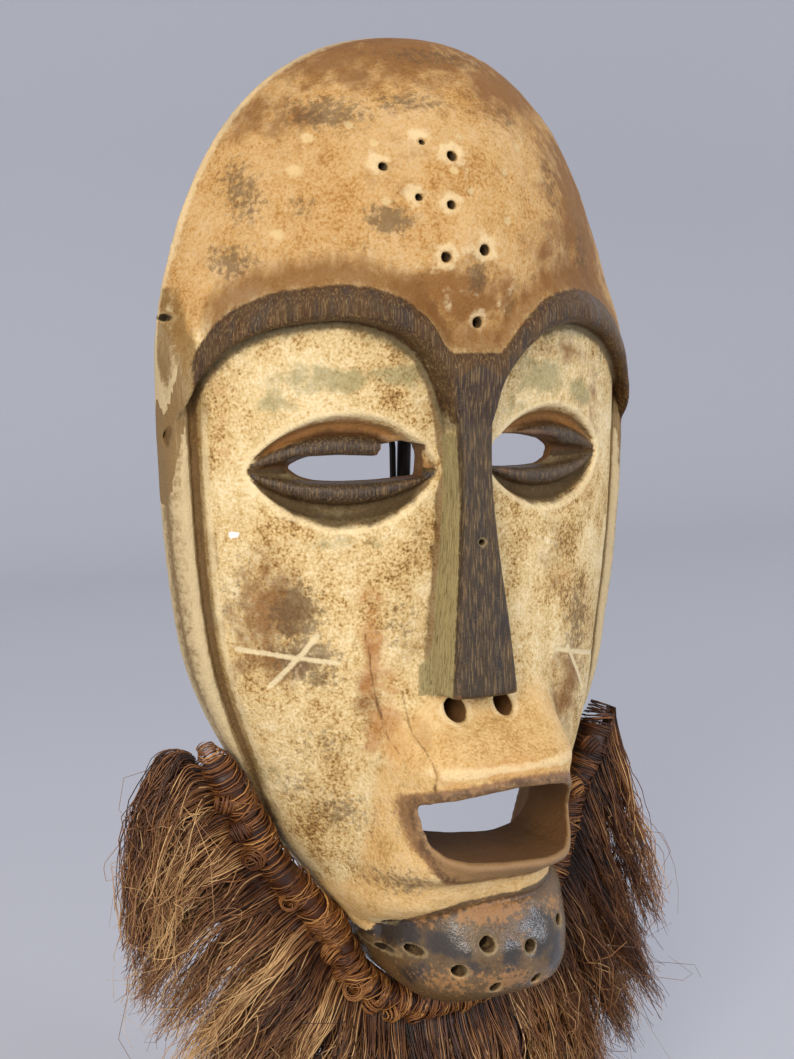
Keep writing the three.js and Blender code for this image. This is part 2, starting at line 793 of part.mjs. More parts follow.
// The height at which a rod that leans like the post meets the roof of the hollow.
function roofHeight(x, radius) {
  let low = HOLLOW.widest;
  let high = HOLLOW.top;
  for (let i = 0; i < 30; i++) {
    const z = (low + high) / 2;
    if (hollowDepth(x, z) > postForward(z) + radius + GAP) low = z;
    else high = z;
  }
  return low;
}

function rod(from, to, radius, sides) {
  const length = from.distanceTo(to);
  const geometry = new THREE.CylinderGeometry(radius, radius, length, sides);
  geometry.rotateX(Math.PI / 2);
  const turn = new THREE.Quaternion().setFromUnitVectors(
    new THREE.Vector3(0, 0, 1),
    to.clone().sub(from).normalize(),
  );
  geometry.applyQuaternion(turn);
  geometry.translate((from.x + to.x) / 2, (from.y + to.y) / 2, (from.z + to.z) / 2);
  return geometry;
}

function makePost() {
  const bottom = FOOT.thick + GAP - LIFT;
  const top = roofHeight(0, POST.radius) - 1;
  const from = new THREE.Vector3(0, -postForward(bottom - 4), bottom - 4);
  const to = new THREE.Vector3(0, -postForward(top), top);
  const whole = solid(rod(from, to, POST.radius, POST.sides));
  const under = new THREE.BoxGeometry(40, 40, 40);
  under.translate(0, -postForward(bottom), bottom - 20);
  return whole.subtract(solid(under));
}

function makeProng() {
  const side = -(POST.radius + PRONG.radius + GAP + 0.1);
  const top = roofHeight(PRONG.tipX, PRONG.radius) - 1;
  const at = (x, z) => new THREE.Vector3(x, -postForward(z), z);
  const split = at(side, PRONG.split);
  const corner = at(side - PRONG.bendOut / 4, PRONG.split + PRONG.bend * 0.45);
  const free = at(side - PRONG.bendOut, PRONG.split + PRONG.bend);
  const path = new THREE.CurvePath();
  path.add(new THREE.LineCurve3(at(side, PRONG.start), split));
  path.add(new THREE.QuadraticBezierCurve3(split, corner, free));
  path.add(new THREE.LineCurve3(free, at(PRONG.tipX, top)));
  const circle = new THREE.Shape().absarc(0, 0, PRONG.radius, 0, 2 * Math.PI);
  return new THREE.ExtrudeGeometry(circle, {
    steps: PRONG.steps,
    curveSegments: PRONG.sides / 2,
    extrudePath: path,
    bevelEnabled: false,
  });
}

function makeFoot() {
  const halfWide = FOOT.width / 2;
  const halfDeep = FOOT.depth / 2;
  const corner = FOOT.corner;
  const shape = new THREE.Shape();
  shape.moveTo(-halfWide + corner, -halfDeep);
  shape.lineTo(halfWide - corner, -halfDeep);
  shape.absarc(halfWide - corner, -halfDeep + corner, corner, -Math.PI / 2, 0);
  shape.absarc(halfWide - corner, halfDeep - corner, corner, 0, Math.PI / 2);
  shape.absarc(-halfWide + corner, halfDeep - corner, corner, Math.PI / 2, Math.PI);
  shape.absarc(-halfWide + corner, -halfDeep + corner, corner, Math.PI, 1.5 * Math.PI);
  return new THREE.ExtrudeGeometry(shape, { depth: FOOT.thick, bevelEnabled: false, curveSegments: 3 });
}

const pigmentedWood = new THREE.MeshStandardMaterial({ color: 0xcaa36c, roughness: 0.75, metalness: 0 });
const plantFibre = new THREE.MeshStandardMaterial({ color: 0x5b3519, roughness: 0.8, metalness: 0 });
const wrappedCord = new THREE.MeshStandardMaterial({ color: 0x6d4524, roughness: 0.85, metalness: 0 });
const blackSteel = new THREE.MeshStandardMaterial({ color: 0x17171a, roughness: 0.45, metalness: 0.6 });

function named(name, geometry, material) {
  const mesh = new THREE.Mesh(geometry, material);
  mesh.name = name;
  return mesh;
}

const held = new THREE.Group();
held.position.z = LIFT;
held.add(named("mask", geometryOf(makeMask()), pigmentedWood));
held.add(named("beard_cord", geometryOf(makeCord()), wrappedCord));
held.add(named("beard_fibre", geometryOf(makeFibre()), plantFibre));
held.add(named("stand_post", geometryOf(makePost()), blackSteel));
held.add(named("stand_prong", makeProng(), blackSteel));

const foot = named("stand_foot", makeFoot(), blackSteel);
foot.position.set(0, FOOT.middleY, 0);

const group = new THREE.Group();
group.add(held, foot);

export default group;
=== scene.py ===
import math

import bmesh
import bpy
import numpy as np
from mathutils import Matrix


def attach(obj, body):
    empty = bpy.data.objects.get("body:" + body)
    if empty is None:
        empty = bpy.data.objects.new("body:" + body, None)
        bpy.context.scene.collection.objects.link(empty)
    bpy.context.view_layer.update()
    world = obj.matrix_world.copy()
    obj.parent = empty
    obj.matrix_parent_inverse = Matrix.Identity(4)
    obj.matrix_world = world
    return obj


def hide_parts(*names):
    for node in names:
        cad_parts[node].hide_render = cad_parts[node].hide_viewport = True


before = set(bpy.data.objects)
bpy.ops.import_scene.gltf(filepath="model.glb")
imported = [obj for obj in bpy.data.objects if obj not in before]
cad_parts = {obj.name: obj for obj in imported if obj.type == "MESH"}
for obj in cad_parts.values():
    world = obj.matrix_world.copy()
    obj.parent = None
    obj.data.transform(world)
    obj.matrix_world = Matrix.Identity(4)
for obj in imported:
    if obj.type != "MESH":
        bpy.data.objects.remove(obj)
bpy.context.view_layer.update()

import openvdb
from mathutils import Vector, noise

# The mask is one piece of light hardwood, carved with an adze and a knife and hollowed from behind.
# Its face is worked out here as depths in front of the flat back rim, in millimetres, and cut like wood:
# the forms are joined, then the hollow, the eyes, the mouth and the bored holes are taken out.
LIFT = 132.0  # the chin stands this high over the foot's underside
PITCH = 1.05  # spacing of the points that the carving is worked out at
MM = 0.001
CROWN_POWER, JAW_POWER = 2.15, 2.2  # how square the wood's egg shape is above and below its widest place
WOOD = dict(half_width=107, top=390, widest=255, bottom=-10)
HOLLOW = dict(half_width=86, top=362, widest=240, bottom=12, depth=45, behind=5)
BEHIND_MUZZLE = dict(deeper=27, x=22, wide=48, z=72, high=30)
DRAWN_IN = [(11, 62, 44), (8, 22, 24)]  # how far the jaw is drawn in, at what height, over what height
DRIFTS = [(5, 150, 85), (9, 70, 24)]  # how far the middle line drifts to one side, from and to what height

# Height, depth at the middle, and how square and how full the section is.
FOREHEAD = [
    (-10, 50, 2, 0.8), (150, 62, 2, 0.8), (200, 66, 2, 0.8), (262, 71, 2, 0.8), (300, 70, 2, 0.95),
    (330, 64, 2, 1), (352, 53, 2, 0.93), (368, 40, 2, 0.85), (380, 28, 2, 0.75), (386, 17.5, 2, 0.7),
    (389, 8, 2, 0.65), (390, 0, 2, 0.6),
]
FACE = [
    (-10, 0, 2.6, 0.5), (-7, 18, 2.6, 0.5), (8, 44, 2.4, 0.55), (30, 56, 2.2, 0.65), (60, 59, 2, 0.75),
    (100, 61, 2, 0.8), (145, 61, 2, 0.78), (180, 60, 1.8, 0.7), (220, 60, 1.6, 0.65),
    (262, 63, 1.6, 0.65), (300, 64, 1.6, 0.65),
]
# Height, the upright side wall's height, and the width of the temple band in front of it.
SIDE = [
    (-10, 0, 0), (20, 6, 0), (60, 12, 0.6), (80, 14, 1.5), (110, 17, 6), (130, 18, 8), (150, 18, 9),
    (235, 17, 10), (250, 15, 9), (275, 8, 3), (292, 3, 0.6), (310, 0, 0), (390, 0, 0),
]
TEMPLE_GROOVE = (2.6, 2.4)  # how deep and how wide the groove in front of the temple band is
# The lower edge of each brow, as x and height.
BROW_RIGHT = [
    (-106, 215), (-103, 236), (-97, 253), (-86, 265.5), (-70, 272), (-52, 274), (-36, 270.5),
    (-24, 262), (-17, 250), (-12.5, 236),
]
BROW_LEFT = [
    (4.2, 236), (9, 250), (20, 263), (34, 271.5), (50, 274), (68, 271), (84, 262),
    (96, 249), (103, 232), (106, 215),
]
# The raised brow band above the brow lines: how proud and wide it is, where its middle runs, where it fades
# at the temples and where its dark paint ends. A shallow dip runs above it, and it is taller at the nose.
BAND = dict(proud=3.4, half=8, middle=6.5, height=13, fades=(107, 90), paint_right=100, paint_left=105)
BAND_DIP = dict(deep=1.8, above=22, half=7, fades=(95, 70))
BAND_ROOT = dict(top=262, blend=8, middle=-4.2, reach=40)
# Height, then the middle, half-width and depth of the nose's flat front.
NOSE = [
    (131, -3, 14.5, 81), (160, -3.4, 11.5, 79), (190, -4, 8.2, 76.5), (215, -4.4, 6.8, 74.5),
    (235, -4.4, 7.6, 73), (247, -4, 9, 72.5), (256, -4, 11, 68), (264, -4, 13, 60),
]
# The muzzle and the chin: the form across, then the height and depth of each station.
MUZZLE_FORM = dict(middle=4, half_width=53, fullness=4.4, squareness=1)
MUZZLE = [
    (30, 40), (40, 62), (46, 70), (52, 72.5), (56, 75), (59.5, 82), (62.5, 86.5), (67, 88), (80, 88),
    (97, 88.5), (104, 90), (112, 82), (121, 72), (130, 65), (145, 57), (170, 40), (195, 0),
]
CHIN_FORM = dict(middle=15, half_width=46, fullness=3, squareness=0.55)
CHIN = [
    (-10, 0), (-9, 16), (-6, 36), (-1.5, 55), (3, 66), (10, 73.5), (18, 77), (25, 77), (32, 75), (38, 72.5),
    (43, 70), (47, 64), (52, 50), (60, 20), (66, 0),
]
# The almond-shaped eye sockets: their middle, half-width and how far they open up and down.
EYES = [
    dict(x=-47.5, z=217.5, half=34.5, up=22.5, down=23.5, broken_from=-34.5),
    dict(x=42, z=220.5, half=34, up=21.5, down=21.5, broken_from=None),
]
SOCKET_DEPTH = 7
# Each lid's line and half its thickness, as shares of the socket's own opening.
LIDS = {"up": (0.40, 0.20), "down": (0.38, 0.16)}
LID_PAINT = (0.39, 0.19)
# Openings: the front outline, the depths between which the sides close in, toward which upright line, and to
# what share of their width.
EYE_SLOTS = [
    dict(front=[(-74, 218), (-71, 221.5), (-66, 222.6), (-50, 223.4), (-36, 222.8), (-34.5, 226.5),
                (-25, 228.5), (-18, 227), (-16.5, 222), (-17, 214.6), (-32, 213.4), (-46, 213),
                (-60, 213.2), (-70, 214.8)],
         skin=40, back=16, line=-17, drawn=0.7),
    dict(front=[(12, 217.5), (24, 216.6), (45, 216.4), (60, 217.4), (68, 220), (69, 223), (62, 226),
                (48, 228), (32, 229.6), (18, 230), (12, 228)],
         skin=52, back=34, line=12, drawn=0.62),
]
MOUTH = dict(front=[(-27.5, 76), (-23, 71.8), (-14.7, 69.4), (1.4, 67.4), (20, 66.2), (31, 67), (36, 70),
                    (39.5, 75), (40.5, 80), (38.8, 85.5), (34.5, 91), (28, 94.5), (20, 95.9), (4.5, 96.5),
                    (-15, 95), (-24, 93.3), (-30.5, 90.7), (-29.5, 83)],
             skin=84, back=20, line=-27, drawn=1)
LIP = dict(proud=1.7, at=2.0, half=2.2, paint=5.4, paint_below=6.5)  # the raised and stained rim of the mouth
NOSTRILS = [(-10.2, 124.6, 4.6), (11.2, 124.6, 4.2)]
# Bored holes, as x, z, radius and depth.
HOLES = [
    (-19.2, 340.5, 1.1, 6), (-9, 335.5, 1.9, 8), (-24, 319.5, 1.4, 7), (-11.8, 317, 1.7, 8),
    (-15.3, 297.5, 1.9, 8), (-34.5, 331, 1.6, 5), (0.5, 300.5, 2.1, 9), (-2, 273.5, 2.1, 9),
    (1.2, 29.5, 3.0, 7), (20, 26, 2.6, 7), (-9, 19, 2.4, 6), (5.8, 10.7, 2.3, 6), (25, 10.5, 2.4, 6),
    (-20.5, 24, 2.0, 6), (-25.5, 20, 1.6, 5), (-26.5, 34, 2.2, 5), (38, 31.5, 2.0, 6), (-3.8, 190.6, 1.2, 7),
    (-104.3, 275.4, 1.5, 6),
]
# Shallow pits that the kaolin has filled, as x, z and radius.
PITS = [
    (-35.9, 340, 2.2), (-4.1, 343.2, 2), (-9.3, 329.9, 2.4), (13.9, 330.6, 2.2), (-3.2, 322.3, 2),
    (-42.2, 346.9, 2.4), (-56, 342.4, 3), (-35.1, 317.9, 2.4), (24, 341, 2.4), (-62, 330, 3.4),
    (-70, 306, 3), (12, 312, 2.6),
]
CHIP = (-86.2, 193.1, 1.9)  # a fresh white chip in the cheek
# The cross cut into each cheek, and the cracks, as lines of x and z, and how deep and wide they are.
SCAR_CUT, CRACK_CUT = (0.7, 1.1), (0.5, 0.9)
SCARS = [
    [(-84.0, 148.1), (-51.7, 143.4)], [(-59.0, 154.1), (-73.6, 133.7)],
    [(47.6, 140.1), (86, 130)], [(56.0, 139.5), (71.2, 119.8)],
]
CRACKS = [
    [(-22.1, 194.0), (-18.8, 190.3), (-14.3, 185.1)],
    [(-41.9, 154.5), (-40.0, 140.7), (-36.7, 122.6), (-33.6, 104.3)],
    [(-29.2, 132.2), (-27.3, 112.1), (-25.6, 88.2)],
    [(-77.5, 216.2), (-76.3, 210.0)],
]
# Layers of uneven knife and adze work on the face: how deep, how wide and the seed of each.
ADZE = [(0.75, 15, 3.1), (0.45, 5.5, 7.7)]
INSIDE_ADZE = (0.8, 13, 21.0)
WANDER = (1.4, 8, 5.0)  # how the thin cracks and the edge of the temple band waver


def ease(low, high, value):
    """0 before low and 1 after high, with a soft start and end; low may be the larger."""
    t = np.clip((value - low) / (high - low), 0, 1)
    return t * t * (3 - 2 * t)


def bell(value, width):
    """1 where the value is 0, falling softly to nothing at about twice the width."""
    return np.exp(-(value / width) ** 2)


def stations(rows, height):
    """The columns of a list of stations at each height, along curves that never overshoot."""
    table = np.array(rows, float)
    place, step = table[:, 0], np.diff(table[:, 0])
    i = np.clip(np.searchsorted(place, height) - 1, 0, len(step) - 1)
    t = np.clip((height - place[i]) / step[i], 0, 1)
    columns = []
    for values in table[:, 1:].T:
        chord = np.diff(values) / step
        before, after = chord[:-1], chord[1:]
        turned = before * after <= 0
        middle = np.where(turned, 0, 2 * before * after / np.where(turned, 1, before + after))
        slope = np.concatenate([chord[:1], middle, chord[-1:]])
        columns.append(
            (2 * t**3 - 3 * t**2 + 1) * values[i] + (t**3 - 2 * t**2 + t) * step[i] * slope[i]
            + (3 * t**2 - 2 * t**3) * values[i + 1] + (t**3 - t**2) * step[i] * slope[i + 1]
        )
    return columns


def egg_half_width(egg, z):
    """Half the width of an egg-shaped outline at each height."""
    up = np.clip((z - egg["widest"]) / (egg["top"] - egg["widest"]), 0, 1)
    down = np.clip((egg["widest"] - z) / (egg["widest"] - egg["bottom"]), 0, 1)
    upper = (1 - up**CROWN_POWER) ** (1 / CROWN_POWER)
    lower = np.sqrt(1 - down**JAW_POWER)
    return egg["half_width"] * np.where(z >= egg["widest"], upper, lower)


def wood_half_width(z):
    """Half the wood's width, with the jaw drawn in below the cheeks."""
    down = np.clip((WOOD["widest"] - z) / (WOOD["widest"] - WOOD["bottom"]), 0, 1)
    drawn_in = sum(width * bell(z - height, spread) for width, height, spread in DRAWN_IN) * (1 - down**12)
    return egg_half_width(WOOD, z) - np.where(z < WOOD["widest"], drawn_in, 0)


def lean(z):
    """The carver's middle line drifts to one side toward the chin."""
    return sum(side * ease(high, low, z) for side, high, low in DRIFTS)


def soft_max(a, b, blend):
    """The larger of two fields, with a round join as wide as blend. soft_min is its mirror."""
    t = np.clip(0.5 + 0.5 * (b - a) / blend, 0, 1)
    return a + (b - a) * t + blend * t * (1 - t)


def soft_min(a, b, blend):
    return -soft_max(-a, -b, blend)


def closest(lines, x, z):
    """Distance in millimetres to the nearest of several lines of corners."""
    nearest = np.full(x.shape, 1e9)
    for corners in lines:
        for (x0, z0), (x1, z1) in zip(corners, corners[1:]):
            run, rise = x1 - x0, z1 - z0
            t = np.clip(((x - x0) * run + (z - z0) * rise) / (run * run + rise * rise), 0, 1)
            nearest = np.minimum(nearest, np.hypot(x - x0 - t * run, z - z0 - t * rise))
    return nearest


def outline_distance(corners, x, z):
    """Distance in millimetres from a closed outline of corners, negative inside it."""
    nearest = closest([corners + corners[:1]], x, z)
    inside = np.zeros(x.shape, bool)
    for (x0, z0), (x1, z1) in zip(corners, corners[1:] + corners[:1]):
        if z0 != z1:
            inside ^= ((z0 <= z) != (z1 <= z)) & (x < x0 + (z - z0) * (x1 - x0) / (z1 - z0))
    return np.where(inside, -nearest, nearest)


def wood_outline(count=110):
    """Points round the wood's edge, from the middle of the top round its left side."""
    angle = np.linspace(math.pi / 2, -math.pi / 2, count + 1)
    reach = np.where(angle > 0, WOOD["top"] - WOOD["widest"], WOOD["bottom"] - WOOD["widest"])
    power = 2 / np.where(angle > 0, CROWN_POWER, JAW_POWER)
    z = WOOD["widest"] + reach * np.abs(np.sin(angle)) ** power
    middle, half = lean(z), wood_half_width(z)
    left, right = [np.stack([middle + side * half, z], axis=1).tolist() for side in (1, -1)]
    return left + right[-2:0:-1]


def roughened(x, z, deep, size, seed):
    """Smooth random lumps over the face, as deep and as wide as given, in millimetres."""
    out = np.empty(x.size)
    for i, (a, b) in enumerate(zip(x.ravel() / size, z.ravel() / size)):
        out[i] = noise.noise((a, b, seed))
    return deep * out.reshape(x.shape)


def brow_edge(x):
    """The height of the brow's lower edge, which arches over each eye and drops between them."""
    right, left = [
        stations(rows, np.clip(x, rows[0][0], rows[-1][0]))[0] for rows in (BROW_RIGHT, BROW_LEFT)
    ]
    return np.where(x < -4, right, left)


def root_rise(x, edge):
    """How much taller the brow band is where it runs down into the nose."""
    root = BAND_ROOT
    height = BAND["height"]
    rise = soft_max(edge + height, root["top"], root["blend"]) - edge - height
    return rise * (np.abs(x - root["middle"]) < root["reach"])


def section(x, z, rows, ledge_share):
    """Depth of a plain cross-section: the side wall's height, the temple band and the crown."""
    depth, power, full = stations(rows, z)
    wall, ledge = stations(SIDE, z)
    ledge = ledge * ledge_share
    inner = np.maximum(wood_half_width(z) - ledge, 1e-6)
    reach = np.abs(x - lean(z))
    wall = np.minimum(wall, depth)
    across = np.clip(reach / inner, 0, 1)
    groove = TEMPLE_GROOVE[0] * bell(reach - inner, TEMPLE_GROOVE[1]) * ease(0, 4, ledge)
    return wall + (depth - wall) * (1 - across**power) ** full - groove


def form(x, z, rows, middle, half_width, fullness, squareness):
    """Depth of a rounded form such as the muzzle, which falls to nothing at its sides and its top."""
    across = np.abs(x - middle) / half_width
    height = stations(rows, z)[0]
    return height * np.clip(1 - across**fullness, 0, 1) ** squareness * (z < rows[-1][0])


def over(base, added, blend):
    """Lays a form over the face, with a fillet that fades out where either is thin."""
    t = np.clip(0.5 + 0.5 * (added - base) / blend, 0, 1)
    fillet = np.where(added > 0, np.clip(np.minimum(base, added) / 8, 0, 1), 0)
    return base + (added - base) * t + blend * t * (1 - t) * fillet


def almond(along):
    """How far a socket is open, from 0 at its corners, where along is -1 and 1, to 1 in its middle."""
    return np.clip(1 - along**2, 0, 1) ** 0.75


def in_socket(eye, x, z):
    """How open the socket is there, and how far from its middle line, 1 being at its rim."""
    lens = almond((x - eye["x"]) / eye["half"])
    reach = np.where(z > eye["z"], eye["up"], eye["down"]) * lens
    away = np.where(reach > 0, np.abs(z - eye["z"]) / np.maximum(reach, 1e-6), 9)
    return lens, away


def face_depth(x, z):
    """Depth of the face below the brows, with the muzzle, the chin and the sunk eye sockets."""
    depth = section(x, z, FACE, 1)
    depth = over(depth, form(x, z, MUZZLE, **MUZZLE_FORM), 9)
    depth = over(depth, form(x, z, CHIN, **CHIN_FORM), 1.5)
    for eye in EYES:
        lens, away = in_socket(eye, x, z)
        depth = depth - SOCKET_DEPTH * ease(1, 0.74, away) * lens**0.4
    return depth


def hollow_depth(x, z):
    """How far the hollow reaches in front of the back rim, deeper behind the muzzle."""
    half = np.maximum(egg_half_width(HOLLOW, z), 1e-6)
    above = HOLLOW["top"] - HOLLOW["widest"]
    below = HOLLOW["widest"] - HOLLOW["bottom"]
    away = z - HOLLOW["widest"]
    up = np.clip(np.where(away > 0, away / above, -away / below), 0, 1)
    across = np.clip(np.abs(x - lean(z)) / half, 0, 1)
    out = np.clip(up**2.4 + across**2.4 * (1 - up**2.4), 0, 1)
    behind = BEHIND_MUZZLE
    more = behind["deeper"] * bell(x - behind["x"], behind["wide"]) * bell(z - behind["z"], behind["high"])
    return -HOLLOW["behind"] + (HOLLOW["depth"] + HOLLOW["behind"] + more) * (1 - out) ** 0.5


def evened(field):
    """1 over the length of a depth map's gradient, so that depths compare as distances."""
    slope_x, slope_z = np.gradient(field, PITCH)
    return 1 / np.sqrt(1 + slope_x**2 + slope_z**2)


def raised_to(forward, depth):
    """The solid behind a depth map, as a field over x, depth and z: negative in the wood."""
    return (forward - depth[:, None, :]) * evened(depth)[:, None, :]


# The block of wood as a grid of points: across, up, and forward from the back rim.
across_x = np.arange(-116, 116.1, PITCH)
up_z = np.arange(-16, 397, PITCH)
ahead = np.arange(-4, 97, PITCH)
X, Z = np.meshgrid(across_x, up_z, indexing="ij")
F = ahead[None, :, None]


def with_nose(wood):
    """The wedge of the nose: straight sides that lean in, and a flat front with a slight edge left on it."""
    middle, half, front = stations(NOSE, Z)
    side = (np.abs(X - middle) - half)[:, None, :] - 0.03 * (front[:, None, :] - F)
    edges = 0.8 * bell(np.abs(X - middle) - half + 1.7, 1.2)
    blunt = F - front[:, None, :] + (0.009 * (X - middle) ** 2 - edges)[:, None, :]
    ends = np.maximum(NOSE[0][0] - Z, Z - NOSE[-1][0])[:, None, :]
    return soft_min(wood, soft_max(soft_max(side, blunt, 2.2), ends, 1.6), 2.0)


def with_lids(wood):
    """Two curved lids in each socket, as rolls along their lines. One upper lid is broken short."""
    for eye in EYES:
        for lid, (line_share, thick_share) in LIDS.items():
            along = (across_x - eye["x"]) / eye["half"]
            lens = almond(along)
            reach = (eye["up"] if lid == "up" else -eye["down"]) * lens
            line = eye["z"] + reach * line_share
            thick = np.abs(reach) * thick_share + 0.5
            depth = face_depth(across_x, line) - thick * 0.5 + 2.6 * lens**0.5
            over_line = np.hypot(
                (Z - line[:, None])[:, None, :], (F - depth[:, None, None]) / 1.2
            ) - thick[:, None, None]
            ends = np.abs(along) * eye["half"] - 0.965 * eye["half"]
            if lid == "up" and eye["broken_from"] is not None:
                ends = np.maximum(ends, across_x - eye["broken_from"])
            wood = soft_min(wood, soft_max(over_line, ends[:, None, None], 0.6), 1.4)
    return wood


def carve():
    """The carving as a field over the grid, negative in the wood: finished, and before it is hollowed. The
    last number of each soft join is the width of its fillet."""
    edge = brow_edge(X)
    edge_slope = np.gradient(edge, PITCH, axis=0)
    edge_distance = (edge - Z) / np.sqrt(1 + edge_slope**2)
    adze = sum(roughened(X, Z, *layer) for layer in ADZE)
    for x, z, radius in PITS:
        adze = adze - 0.8 * bell(np.hypot(X - x, Z - z), radius)
    above = Z - edge - root_rise(X, edge)
    off_band = np.clip(above - BAND["middle"], 0, None) + np.clip(Z - edge - BAND["middle"], None, 0)
    band = BAND["proud"] * bell(off_band, BAND["half"]) * ease(*BAND["fades"], np.abs(X))
    dip = BAND_DIP["deep"] * bell(above - BAND_DIP["above"], BAND_DIP["half"])
    dip = dip * ease(*BAND_DIP["fades"], np.abs(X))
    fore = section(X, Z, FOREHEAD, 0) + (band - dip) * ease(190, 235, Z) + adze
    face = face_depth(X, Z) - np.clip(Z - edge - 8, 0, None)
    cracks = closest(CRACKS, X + roughened(X, Z, *WANDER), Z)
    cut = SCAR_CUT[0] * bell(closest(SCARS, X, Z), SCAR_CUT[1]) + CRACK_CUT[0] * bell(cracks, CRACK_CUT[1])
    lip = LIP["proud"] * bell(outline_distance(MOUTH["front"], X, Z) - LIP["at"], LIP["half"])
    wood = soft_max(raised_to(F, fore), edge_distance[:, None, :], 3.2)
    wood = soft_min(wood, raised_to(F, face + lip + 0.6 * adze - cut), 1.8)
    wood = soft_max(wood, outline_distance(wood_outline(), X, Z)[:, None, :], 7)
    wood = with_lids(with_nose(wood))
    before = wood.astype(np.float32)
    hollow = hollow_depth(X, Z) + roughened(X, Z, *INSIDE_ADZE)
    wood = soft_max(wood, -raised_to(F, hollow), 2.0)
    wood = soft_max(wood, -F, 2.0)
    for opening in [*EYE_SLOTS, MOUTH]:
        line, drawn = opening["line"], opening["drawn"]
        outer = outline_distance(opening["front"], X, Z)
        inner = outline_distance([(line + (x - line) * drawn, z) for x, z in opening["front"]], X, Z)
        share = np.clip((opening["skin"] - F) / (opening["skin"] - opening["back"]), 0, 1)
        tunnel = outer[:, None, :] * (1 - share) + inner[:, None, :] * share
        tunnel = np.maximum(tunnel, opening["back"] - F)
        wood = soft_max(wood, -tunnel, 1.2)
    skin = np.maximum(fore * (Z > edge), face)
    for x, z, radius in NOSTRILS:
        wood = soft_max(wood, -np.maximum((np.hypot(X - x, Z - z) - radius)[:, None, :], 48 - F), 1.2)
    for x, z, radius, deep in HOLES:
        i, k = int((x - across_x[0]) / PITCH), int((z - up_z[0]) / PITCH)
        shaft = (np.hypot(X - x, Z - z) - radius)[:, None, :]
        wood = soft_max(wood, -np.maximum(shaft, skin[i, k] - deep - F), 0.9)
    return wood, before


def mesh_of(field, corner):
    """Meshes the zero surface of a field; corner is the field's first point, in millimetres."""
    grid = openvdb.FloatGrid(float(PITCH * 4))
    grid.copyFromArray(np.clip(field, -PITCH * 4, PITCH * 4).astype(np.float32))
    points, quads = grid.convertToQuads()
    return points * PITCH + np.array(corner), quads


def sampled(field, x, f, z):
    """A field's values at points of the carving, between its grid points."""
    place = [(x - across_x[0]) / PITCH, (f - ahead[0]) / PITCH, (z - up_z[0]) / PITCH]
    low = [np.clip(np.floor(p).astype(int), 0, n - 2) for p, n in zip(place, field.shape)]
    part = [np.clip(p - i, 0, 1) for p, i in zip(place, low)]
    value = 0
    for corner in range(8):
        step = [corner >> k & 1 for k in range(3)]
        share = np.prod([t if s else 1 - t for t, s in zip(part, step)], axis=0)
        value = value + share * field[tuple(i + s for i, s in zip(low, step))]
    return value


def smoothed(field, reach):
    """The field's mean over a box that reaches so many grid steps each way."""
    for axis in range(3):
        padded = np.pad(field, [(reach, reach) if a == axis else (0, 0) for a in range(3)], mode="edge")
        field = np.lib.stride_tricks.sliding_window_view(padded, 2 * reach + 1, axis).mean(axis=-1)
    return field


def faced_out(mesh):
    """Turns a closed mesh's faces outward."""
    bm = bmesh.new()
    bm.from_mesh(mesh)
    if bm.calc_volume(signed=True) < 0:
        bmesh.ops.reverse_faces(bm, faces=bm.faces)
        bm.to_mesh(mesh)
    bm.free()


def in_scene(name, data):
    """A new object in the scene."""
    thing = bpy.data.objects.new(name, data)
    bpy.context.scene.collection.objects.link(thing)
    return thing


def solid_mesh(name, points, faces):
    """A new object with smooth faces that point out, from points in metres."""
    mesh = bpy.data.meshes.new(name)
    mesh.from_pydata(np.asarray(points).tolist(), [], [list(f) for f in faces])
    mesh.validate()
    mesh.shade_smooth()
    faced_out(mesh)
    return in_scene(name, mesh)


def applied(piece):
    """Turns a piece and its modifiers into a plain mesh with no modifier left."""
    bpy.context.view_layer.update()
    finished = bpy.data.meshes.new_from_object(piece.evaluated_get(bpy.context.evaluated_depsgraph_get()))
    piece.modifiers.clear()
    piece.data = finished
    return piece


def set_marks(piece, marks):
    """Keeps named values on the piece's points, for its material to read."""
    for name, values in marks.items():
        attribute = piece.data.attributes.new(name, "FLOAT", "POINT")
        attribute.data.foreach_set("value", np.ascontiguousarray(values, np.float32))


MASK_TRIANGLES = 186000
wood_field, before_cuts = carve()
points, quads = mesh_of(wood_field, (across_x[0], ahead[0], up_z[0]))
placed = np.stack([points[:, 0], -points[:, 1], points[:, 2] + LIFT], axis=1) * MM
mask = solid_mesh("mask_carved_wood", placed, quads)
thinner = mask.modifiers.new("thinner", "DECIMATE")
thinner.ratio = MASK_TRIANGLES / (2 * len(quads))
applied(mask)
mask.data.shade_smooth()


# Places where soot, ochre and greenish kaolin lie thicker: x, z, and how far across and up each reaches.
SOOT = [
    (-66, 163, 10, 14, 1.0), (-63, 146, 14, 10, 0.9), (-58, 138, 10, 8, 0.7), (-84, 172, 9, 22, 0.4),
    (-35, 311, 9, 7, 1.0), (-3, 291, 5, 8, 0.9), (-48, 352, 16, 9, 0.8), (-20, 356, 20, 6, 0.6),
    (-78, 322, 8, 16, 0.7), (-84, 296, 9, 9, 0.8), (-62, 316, 6, 6, 0.6), (-88, 268, 8, 16, 0.5),
    (42, 330, 12, 20, 0.5), (62, 300, 10, 24, 0.6), (76, 262, 8, 24, 0.4), (-46, 300, 22, 8, 0.3),
    (-30, 158, 12, 14, 0.5), (62, 150, 12, 26, 0.7), (70, 118, 9, 18, 0.5), (46, 186, 12, 12, 0.4),
    (-56, 110, 14, 10, 0.5), (-48, 82, 14, 12, 0.6), (-62, 92, 8, 14, 0.5), (-30, 58, 14, 10, 0.6),
    (0, 377, 40, 6, 0.6), (20, 352, 14, 8, 0.5),
]
